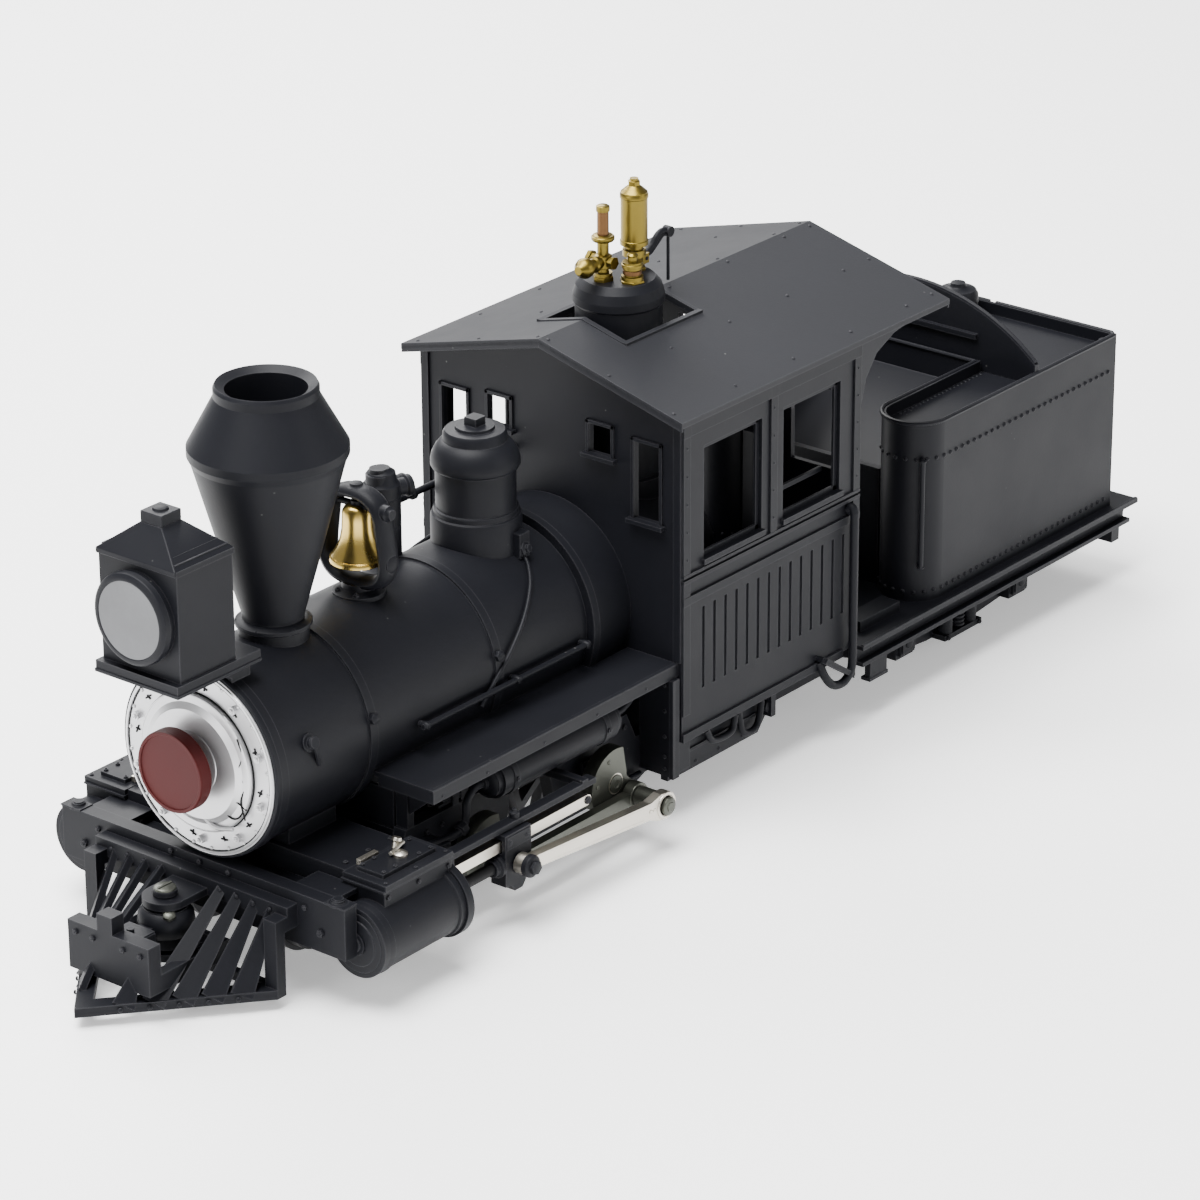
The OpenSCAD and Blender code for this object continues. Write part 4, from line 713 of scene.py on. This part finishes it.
DRIVER_Z, THROW, ROD_LENGTH, MAIN_X, WHEELBASE = 9.2, 3.7, 29.0, -19.6, 26.0
for s, side_name, angle in ((-1, "left", -40), (1, "right", 50)):
    a = math.radians(angle)
    pin = Vector((MAIN_X + THROW * math.cos(a), 0, DRIVER_Z + THROW * math.sin(a)))
    wrist = Vector((pin.x - math.sqrt(ROD_LENGTH ** 2 - (THROW * math.sin(a)) ** 2), 0, DRIVER_Z))
    along = (pin - wrist).normalized()
    over = Vector((-along.z, 0, along.x))

    def at(point, y, u=0.0, v=0.0):
        return Vector(point) + along * u + over * v + Vector((0, s * y, 0))

    rod_end = Piece(f"main_rod_{side_name}_cap", f"main_rod_{side_name}", BLACK, "black_paint", bevel=0.08)
    rod_end.turned(at(wrist, 27.0), (0, s, 0), [(0, 1.55), (0.8, 1.55), (1.0, 1.3), (1.05, 0.9)], 24)
    rod_end.turned(at(wrist, 28.1), (0, s, 0), [(0, 1.0), (0.5, 1.0), (0.6, 0.7)], 6)
    rod_end.done()
    trim_rod = Piece(f"main_rod_{side_name}_trim", f"main_rod_{side_name}", NICKEL, "rod_nickel",
                     bevel=0.05)
    trim_rod.turned(at(pin, 27.05), (0, s, 0), [(0, 1.95), (0.16, 1.9), (0.18, 1.5), (0.05, 1.45)], 40)
    for u in (-3.3, -2.5):
        trim_rod.turned(at(pin, 27.05, u), (0, s, 0), [(0, 0.35), (0.12, 0.35), (0.16, 0.2)], 6)
    lo, hi = 4.4, ROD_LENGTH - 4.6
    for edge_side in (1, -1):
        corners = ((lo, 0.55), (hi, 0.75), (hi, 0.95), (lo, 0.72))
        web = [at(wrist, 27.12, u, edge_side * v) for u, v in corners]
        trim_rod.poly([web, [p + Vector((0, -s * 0.15, 0)) for p in web]])
    trim_rod.done()

    # The side rod bosses are in the dark crank metal too: painted shade on nickel.
    side_trim = Piece(f"side_rod_{side_name}_trim", f"side_rod_{side_name}", CRANK_AND_SHADED_ROD, "crank_metal",
                      bevel=0.04)
    for x in (pin.x, pin.x - WHEELBASE):
        side_trim.turned((x, s * 22.35, pin.z), (0, s, 0),
                         [(0, 1.9), (0.12, 1.85), (0.14, 1.35), (0.05, 1.3)], 32)
    side_trim.done()

    nut = Piece(f"crank_pin_{side_name}", "main_driver", CRANK_AND_SHADED_ROD, "crank_metal", bevel=0.05)
    nut.turned(at(pin, 26.9), (0, s, 0), [(0, 1.1), (0.4, 1.3), (0.75, 1.3), (0.9, 1.1)], 24)
    nut.turned(at(pin, 27.7), (0, s, 0), [(0, 0.75), (0.25, 0.7)], 6)
    nut.turned((MAIN_X, s * 20.7, DRIVER_Z), (0, s, 0),
               [(-0.1, 1.3), (0.15, 1.3), (0.2, 0.6), (0.1, 0.5)], 28)
    for k in (-1, 1):
        back_a = a + math.pi + k * 0.5
        spot = (MAIN_X + 3.9 * math.cos(back_a), s * 20.7, DRIVER_Z + 3.9 * math.sin(back_a))
        nut.rivet(spot, (0, s, 0), r=0.35, h=0.15)
    nut.done()
    front_nut = Piece(f"front_pin_{side_name}", "front_driver", CRANK_AND_SHADED_ROD, "crank_metal", bevel=0.05)
    front_nut.turned((pin.x - WHEELBASE, s * 22.55, pin.z), (0, s, 0), [(0, 1.1), (0.3, 1.1)], 6)
    front_nut.done()

    cross = Piece(f"crosshead_{side_name}_details", f"crosshead_{side_name}", BLACK, "black_paint",
                  bevel=0.05)
    cross.box((wrist.x - 2.3, wrist.x + 2.3), across(s, 25.35, 25.5), (11.6, 13.4))
    for x in (-1.7, 1.7):
        cross.bolt((wrist.x + x, s * 25.45, 12.5), (0, s, 0), 0.38, 0.15)
        cross.bolt((wrist.x + x, s * 24.0, 13.65), UP, 0.35, 0.25)
    cross.turned((wrist.x, s * 24.0, 13.65), UP, [(0, 0.6), (0.15, 0.6)], 12)
    cross.turned((wrist.x - 2.5, s * CYL_Y, CYL_Z), FORWARD,
                 [(0, 1.6), (0.6, 1.6), (0.8, 1.2), (1.5, 1.2)], 16)
    cross.done()

# ---- frame, boards and reservoirs ----

RESERVOIR_Y, RESERVOIR_Z = 18.6, 18.1
works = Piece("frame_details", "engine", BLACK, "black_paint", bevel=0.04)
for s in SIDES:
    for x in (MAIN_X, MAIN_X - WHEELBASE):
        for i in range(5):
            leaf_z = 16.0 + 0.42 * i
            works.box((x - 5.2 + 0.9 * i, x + 5.2 - 0.9 * i), across(s, 14.8, 16.3),
                      (leaf_z, 16.36 + 0.42 * i))
        works.box((x - 0.8, x + 0.8), across(s, 14.7, 16.4), (15.5, 18.4))
        works.box((x - 2.3, x + 2.3), across(s, 16.4, 16.9), (6.6, 12.0))
        for dx in (-1.8, 1.8):
            for z in (7.4, 11.2):
                works.bolt((x + dx, s * 16.85, z), (0, s, 0), 0.33, 0.22)
    for x in (-53.5, -50.5, -25.6, -12.6):
        works.bolt((x, s * 16.5, 13.8), (0, s, 0), 0.4, 0.3)
    works.rod((-58, s * 17.2, 6.2), (-10, s * 17.2, 6.2), 0.4, n=10)
    for x in (-57.6, -52.0, -46.4, -40.8, -35.2, -29.6, -24.0, -18.4, -12.8):
        works.rivet((x, s * 21.55, 23.0), UP, r=0.2, h=0.12, n=8)
    for x in (-56.5, -47.6, -36.0, -25.0, -14.6):
        bracket = [(s * 16.5, 22.2), (s * 21.2, 22.2), (s * 21.2, 21.5), (s * 16.5, 17.5)]
        works.plate(bracket, x - 0.25, x + 0.25, "yz")
        works.rivet((x, s * 22.0, 21.7), (0, s, 0), r=0.22, h=0.12, n=8)
    works.box((-58.5, -7.9), across(s, 21.5, 22.1), (22.9, 23.12))
    for x in (-44.0, -18.6):
        out = -1 if x < -40 else 1
        works.turned((x, s * RESERVOIR_Y, RESERVOIR_Z), (out, 0, 0),
                     [(-0.2, 2.3), (0.1, 2.1), (0.35, 1.4), (0.45, 0.9), (0.9, 0.9), (1.0, 0.4)], 28)
    for x in (-40.8, -21.8):
        works.bolt((x, s * 21.4, 18.1), (0, s, 0), 0.4, 0.25)
    works.tube([(-44.7, s * RESERVOIR_Y, RESERVOIR_Z), (-46.6, s * 18.7, 18.0), (-48.6, s * 19.2, 17.0),
                (-49.4, s * 19.6, 14.6), (-51.5, s * 19.4, 13.4), (-56.0, s * 18.6, 13.3)], 0.55, n=12)
    works.turned((-50.0, s * 19.55, 13.9), (-1, 0, -0.4),
                 [(-0.6, 0.6), (-0.5, 0.95), (0.5, 0.95), (0.6, 0.6)], 8)
    works.tube([(-18.0, s * RESERVOIR_Y, RESERVOIR_Z), (-15.5, s * 18.6, 18.2), (-13.0, s * 18.4, 19.6),
                (-12.4, s * 17.8, 22.0)], 0.5, n=12)
works.box((-76.4, -72.1), (-14.4, 14.4), (12.6, 13.2))
for s in SIDES:
    works.box((-76.4, -72.1), across(s, 14.4, 21.5), (14.2, 14.9))
    works.box((-60.9, -57.6), across(s, 6.9, 14.4), (13.4, 14.0))
    works.box((-60.9, -53.0), across(s, 16.6, 20.2), (12.6, 13.4))
works.box((-57.4, -56.9), (-14.4, 14.4), (15.1, 20.5))
works.done()

# ---- ash pan, pipes and grab irons at the cab ----

pan = Piece("ash_pan_details", "engine", BLACK, "black_paint", bevel=0.04)
for s in SIDES:
    for x in (-7.2, -3.4, 0.4, 4.2, 8.0, 11.8):
        pan.rivet((x, s * 20.6, 10.6), (0, s, 0), r=0.28, h=0.18, n=8)
    for x in (-7.2, -2.0, 3.2, 8.4):
        pan.rivet((x, s * 20.6, 6.0), (0, s, 0), r=0.28, h=0.18, n=8)
    pan.box((-7.6, 11.6), across(s, 20.6, 20.85), (8.0, 8.5))
    for z in (7.6, 9.4, 12.4, 16.2, 20.0):
        pan.rivet((-9.25, s * 20.9, z), FORWARD, r=0.3, h=0.2, n=8)
    pan.box((-9.6, -9.2), across(s, 21.9, 22.6), (6.5, 21.1))
    pan.tube([(-1.0, s * 21.6, 10.6), (0.4, s * 21.7, 8.6), (4.4, s * 21.7, 8.4), (5.4, s * 21.7, 10.6)],
             0.5, n=10)
    pan.tube([(6.4, s * 21.5, 10.8), (7.4, s * 21.6, 7.2), (10.4, s * 21.6, 7.0), (11.8, s * 21.4, 10.4)],
             0.5, n=10)
    pan.turned((13.5, s * 20.4, 9.0), (0, s, 0), [(-0.2, 1.0), (1.2, 1.0), (1.4, 0.6)], 12)
    pan.tube([(29.6, s * 22.7, 33.6), (29.6, s * 23.3, 34.0), (29.6, s * 23.8, 33.4), (29.6, s * 23.9, 31.5),
              (29.6, s * 23.9, 20.0), (29.6, s * 23.9, 11.5), (29.1, s * 23.9, 9.3), (27.4, s * 23.9, 8.2),
              (25.2, s * 23.8, 8.6), (23.6, s * 23.5, 10.4), (23.0, s * 22.9, 12.6)], 0.62, n=12)
pan.done()

# ---- deck, rear beam and steps ----

DECK_TOP = 12.0
deck_bits = Piece("deck_details", "engine", BLACK, "black_paint", bevel=0.05)
for s in SIDES:
    deck_bits.box((32.2, 102.2), across(s, 23.5, 24.0), (DECK_TOP, 12.22))
    for i in range(16):
        deck_bits.rivet((35.5 + 4.3 * i, s * 22.8, 10.6), (0, s, 0), r=0.26, h=0.18, n=8)
        deck_bits.rivet((35.5 + 4.3 * i, s * 23.75, 12.2), UP, r=0.18, h=0.1, n=6)
    deck_bits.box((36.0, 45.5), across(s, 17.4, 20.6), (DECK_TOP, 13.6))
    deck_bits.box((34.0, 38.0), across(s, 22.9, 23.9), (6.4, 9.0))
    deck_bits.box((33.8, 38.2), across(s, 22.4, 24.0), (6.0, 6.5))
    for y in (18.0, 8.0):
        deck_bits.bolt((100.2, s * y, 8.6), AFT, 0.6, 0.4)
    for x in (49.0, 60.0, 71.0, 82.0, 93.0):
        deck_bits.box((x, x + 0.8), across(s, 4.2, 22.0), (10.6, 11.4))
for i in range(9):
    deck_bits.box((33.2, 50.0), (-9.6 + 2.16 * i, -9.6 + 2.16 * i + 2.0), (DECK_TOP, 12.18))
deck_bits.done()

# ---- rear truck ----

TRUCK_AXLES, AXLE_Z, BRAKES = (49.2, 77.8), 5.6, (54.8, 72.2)
truck = Piece("rear_truck_details", "rear_truck", BLACK, "black_paint", bevel=0.05)
for s in SIDES:
    for x in TRUCK_AXLES:
        truck.box((x - 1.5, x + 1.5), across(s, 19.5, 19.85), (4.2, 7.0))
        truck.turned((x, s * 19.6, AXLE_Z), (0, s, 0), [(0, 0.9), (0.4, 0.85), (0.55, 0.5)], 14)
        truck.box((x - 1.2, x + 1.2), across(s, 18.6, 19.5), (7.7, 8.2))
        for dx in (-2.7, 2.7):
            truck.bolt((x + dx, s * 17.0, AXLE_Z), (0, s, 0), 0.45, 0.3)
            truck.rod((x + dx, s * 16.2, 2.7), (x + dx, s * 16.2, 8.3), 0.35, n=8)
    for x in (60.5, 63.5, 66.5):
        for k in range(7):
            truck.turned((x, s * 18.2, 3.1 + 0.62 * k), UP,
                         [(0, 0.9), (0.15, 1.12), (0.4, 1.12), (0.55, 0.9)], 14)
    for x in (59.6, 67.4):
        truck.bolt((x, s * 19.4, 2.6), (0, s, 0), 0.4, 0.3)
        truck.bolt((x, s * 19.4, 8.1), (0, s, 0), 0.4, 0.3)
    truck.rod((36.0, s * 20.6, 7.4), (84.0, s * 20.6, 7.9), 0.42, n=10)
    for x in (44.5, 63.5, 82.0):
        truck.box((x - 0.4, x + 0.4), across(s, 16.6, 20.7), (7.0, 7.6))
    for x in BRAKES:
        truck.box((x - 0.7, x + 0.7), across(s, 7.4, 9.8), (3.4, 7.8))
    truck.rod((BRAKES[0], s * 8.5, 5.0), (BRAKES[1], s * 8.5, 5.0), 0.35, n=8)
for x in BRAKES:
    truck.rod((x, -9.6, 5.0), (x, 9.6, 5.0), 0.4, n=8)
truck.done()

# ---- inside the cab ----

STEAM_X = 7.2
inside = Piece("cab_fittings", "engine", BLACK, "black_paint", bevel=0.05)
BACKHEAD_X = 13.0
inside.turned((BACKHEAD_X, 0, BOILER_Z), AFT, [(-0.3, 12.35), (0.4, 12.3), (0.5, 11.9)], 48)
for i in range(18):
    a = math.radians(20 * i)
    inside.rivet((BACKHEAD_X, 11.3 * math.cos(a), BOILER_Z + 11.3 * math.sin(a)), AFT, r=0.3, h=0.25, n=8)
inside.turned((BACKHEAD_X + 0.7, 0, 21), AFT, [(0, 3.4), (0.4, 3.3), (0.5, 2.4), (0.9, 2.2)], 28)
inside.tube([(BACKHEAD_X + 0.2, 0, 36.2), (BACKHEAD_X + 2.4, 0.8, 36.6), (BACKHEAD_X + 3.4, 4.6, 36.9),
             (BACKHEAD_X + 3.2, 7.4, 37.2)], 0.4, n=8)
for s in SIDES:
    inside.box((17.0, 27.5), across(s, 15.4, 21.6), (22.5, 23.6))
    inside.box((18.0, 26.5), across(s, 16.0, 21.6), (12.6, 22.5))
    inside.tube([(BACKHEAD_X, s * 4.2, 39.4), (BACKHEAD_X + 1.2, s * 5.6, 42.0),
                 (BACKHEAD_X - 1.0, s * 5.4, 47.0), (STEAM_X + 4, s * 3.8, 50.0)], 0.4, n=8)
inside.done()
gauges = Piece("cab_gauges", "engine", VALVE, "valve_brass", bevel=0.03)
for y, z, r in ((-5, 34, 1.5), (0, 34, 1.5), (5, 34, 1.5), (-7.6, 29.5, 0.9)):
    gauges.turned((BACKHEAD_X + 0.9, y, z), AFT, [(0, r), (0.4, r), (0.5, r - 0.25), (0.3, r - 0.35)], 20)
for y in (-3.4, 3.4):
    gauges.rod((BACKHEAD_X + 1.2, y, 24.6), (BACKHEAD_X + 1.2, y, 30.0), 0.35, n=10)
    for z in (24.6, 30.0):
        gauges.turned((BACKHEAD_X, y, z), AFT, [(0, 0.6), (1.4, 0.6), (1.5, 0.9), (1.8, 0.9)], 10)
gauges.done()

# ---- rear wall, ladder and tank hatch ----

rear = Piece("rear_details", "engine", BLACK, "black_paint", bevel=0.04)
for y in (-13.5, 13.5):
    for z in (17.0, 20.2, 23.4, 26.6, 29.8, 33.0, 36.2):
        rear.rivet((TANK_X1, y, z), AFT, r=0.24, h=0.16, n=8)
for i in range(8):
    z = 15.5 + 3.2 * i
    rear.rod((98.5, -19.6, z), (98.5, -15.4, z), 0.3, n=8)
for y in (-19.6, -15.4):
    rear.rod((98.5, y, 13.2), (98.5, y, 38.9), 0.32, n=8)
    for z in (14.0, 26.7, 38.4):
        rear.rod((97.2, y, z), (98.5, y, z), 0.3, n=8)
rear.turned((TANK_X1, 0, 33.0), AFT, [(-0.1, 2.0), (0.5, 2.0), (0.7, 1.7), (0.8, 1.2)], 24)
for s in SIDES:
    rear.rivet((49.3, s * 21.4, 34.0), UP, r=0.55, h=0.35)
    rear.rivet((49.3, s * 21.4, 17.8), (0, 0, -1), r=0.55, h=0.35)
    for x in (78.0, 86.0, 94.0):
        rear.box((x, x + 1.0), across(s, 21.2, 21.62), (TANK_TOP, 39.4))
rear.done()
hatch = Piece("hatch_details", "tank_hatch", BLACK, "black_paint", bevel=0.05)
hatch.turned((92.4, 3.0, 40.4), UP,
             [(0, 3.15), (1.3, 3.1), (2.0, 2.7), (2.3, 1.4), (2.5, 1.2), (3.0, 1.1), (3.1, 0.5)], 32)
hatch.tube([(89.6, 3.0, 41.2), (88.8, 3.0, 41.5), (88.5, 3.0, 40.9)], 0.3, n=8)
hatch.done()

# ---- stage, camera and light ----

floor_mesh = bpy.data.meshes.new("floor")
FLOOR_HALF = 3.0
corners = [(x * FLOOR_HALF, y * FLOOR_HALF, 0) for x, y in ((-1, -1), (1, -1), (1, 1), (-1, 1))]
floor_mesh.from_pydata(corners, [], [(0, 1, 2, 3)])
floor = bpy.data.objects.new("floor", floor_mesh)
bpy.context.scene.collection.objects.link(floor)
white = Shader("backdrop")
clouds = white.node("ShaderNodeTexNoise", Scale=8.0, Detail=3.0)
gloss = white.ramp(clouds.outputs["Fac"], To_Min=0.55, To_Max=0.62)
white.link(gloss, white.bsdf.inputs["Roughness"])
white.bsdf.inputs["Base Color"].default_value = (0.97, 0.97, 0.97, 1)
white.bsdf.inputs["Emission Color"].default_value = (1, 1, 1, 1)
white.bsdf.inputs["Emission Strength"].default_value = 0.42
white.bsdf.inputs["Specular IOR Level"].default_value = 0.1
floor_mesh.materials.append(white.mat)

CAM_AZ, CAM_EL, CAM_ROLL = -50.81, 23.17, -0.38
CAM_AT = (-491.6, -399.57, 299.41)
az, el, roll = (math.radians(v) for v in (CAM_AZ, CAM_EL, CAM_ROLL))
right = Vector((math.cos(az), math.sin(az), 0))
back = Vector((math.sin(az) * math.cos(el), -math.cos(az) * math.cos(el), math.sin(el)))
up = back.cross(right)
right, up = (right * math.cos(roll) + up * math.sin(roll), up * math.cos(roll) - right * math.sin(roll))
cam_data = bpy.data.cameras.new("camera")
cam_data.lens = 150.12
cam_data.sensor_width = 36
cam_data.shift_x = 0.01667
cam_data.shift_y = -0.025
cam_data.clip_start, cam_data.clip_end = 0.01, 20
cam = bpy.data.objects.new("camera", cam_data)
cam.matrix_world = Matrix.Translation(Vector(CAM_AT) * MM) @ Matrix((right, up, back)).transposed().to_4x4()
bpy.context.scene.collection.objects.link(cam)
bpy.context.scene.camera = cam


def area_light(name, at, target, size_mm, watts):
    """A soft rectangular light that points at the target; places and sizes in mm."""
    data = bpy.data.lights.new(name, "AREA")
    data.shape = "RECTANGLE"
    data.size, data.size_y = size_mm[0] * MM, size_mm[1] * MM
    data.energy = watts
    obj = bpy.data.objects.new(name, data)
    obj.location = Vector(at) * MM
    obj.rotation_euler = (Vector(target) - Vector(at)).to_track_quat("-Z", "Y").to_euler()
    bpy.context.scene.collection.objects.link(obj)


area_light("key", (-160, 60, 640), (0, 0, 30), (520, 420), 15)
area_light("rim", (260, 480, 420), (0, 0, 30), (500, 300), 7)
area_light("front", (-620, 60, 200), (-20, 0, 40), (300, 300), 1.6)
area_light("side", (220, -620, 260), (20, 0, 30), (400, 260), 1.4)
world = bpy.data.worlds.new("studio")
world.use_nodes = True
background = world.node_tree.nodes["Background"]
background.inputs["Color"].default_value = (1, 1, 1, 1)
background.inputs["Strength"].default_value = 0.42
bpy.context.scene.world = world
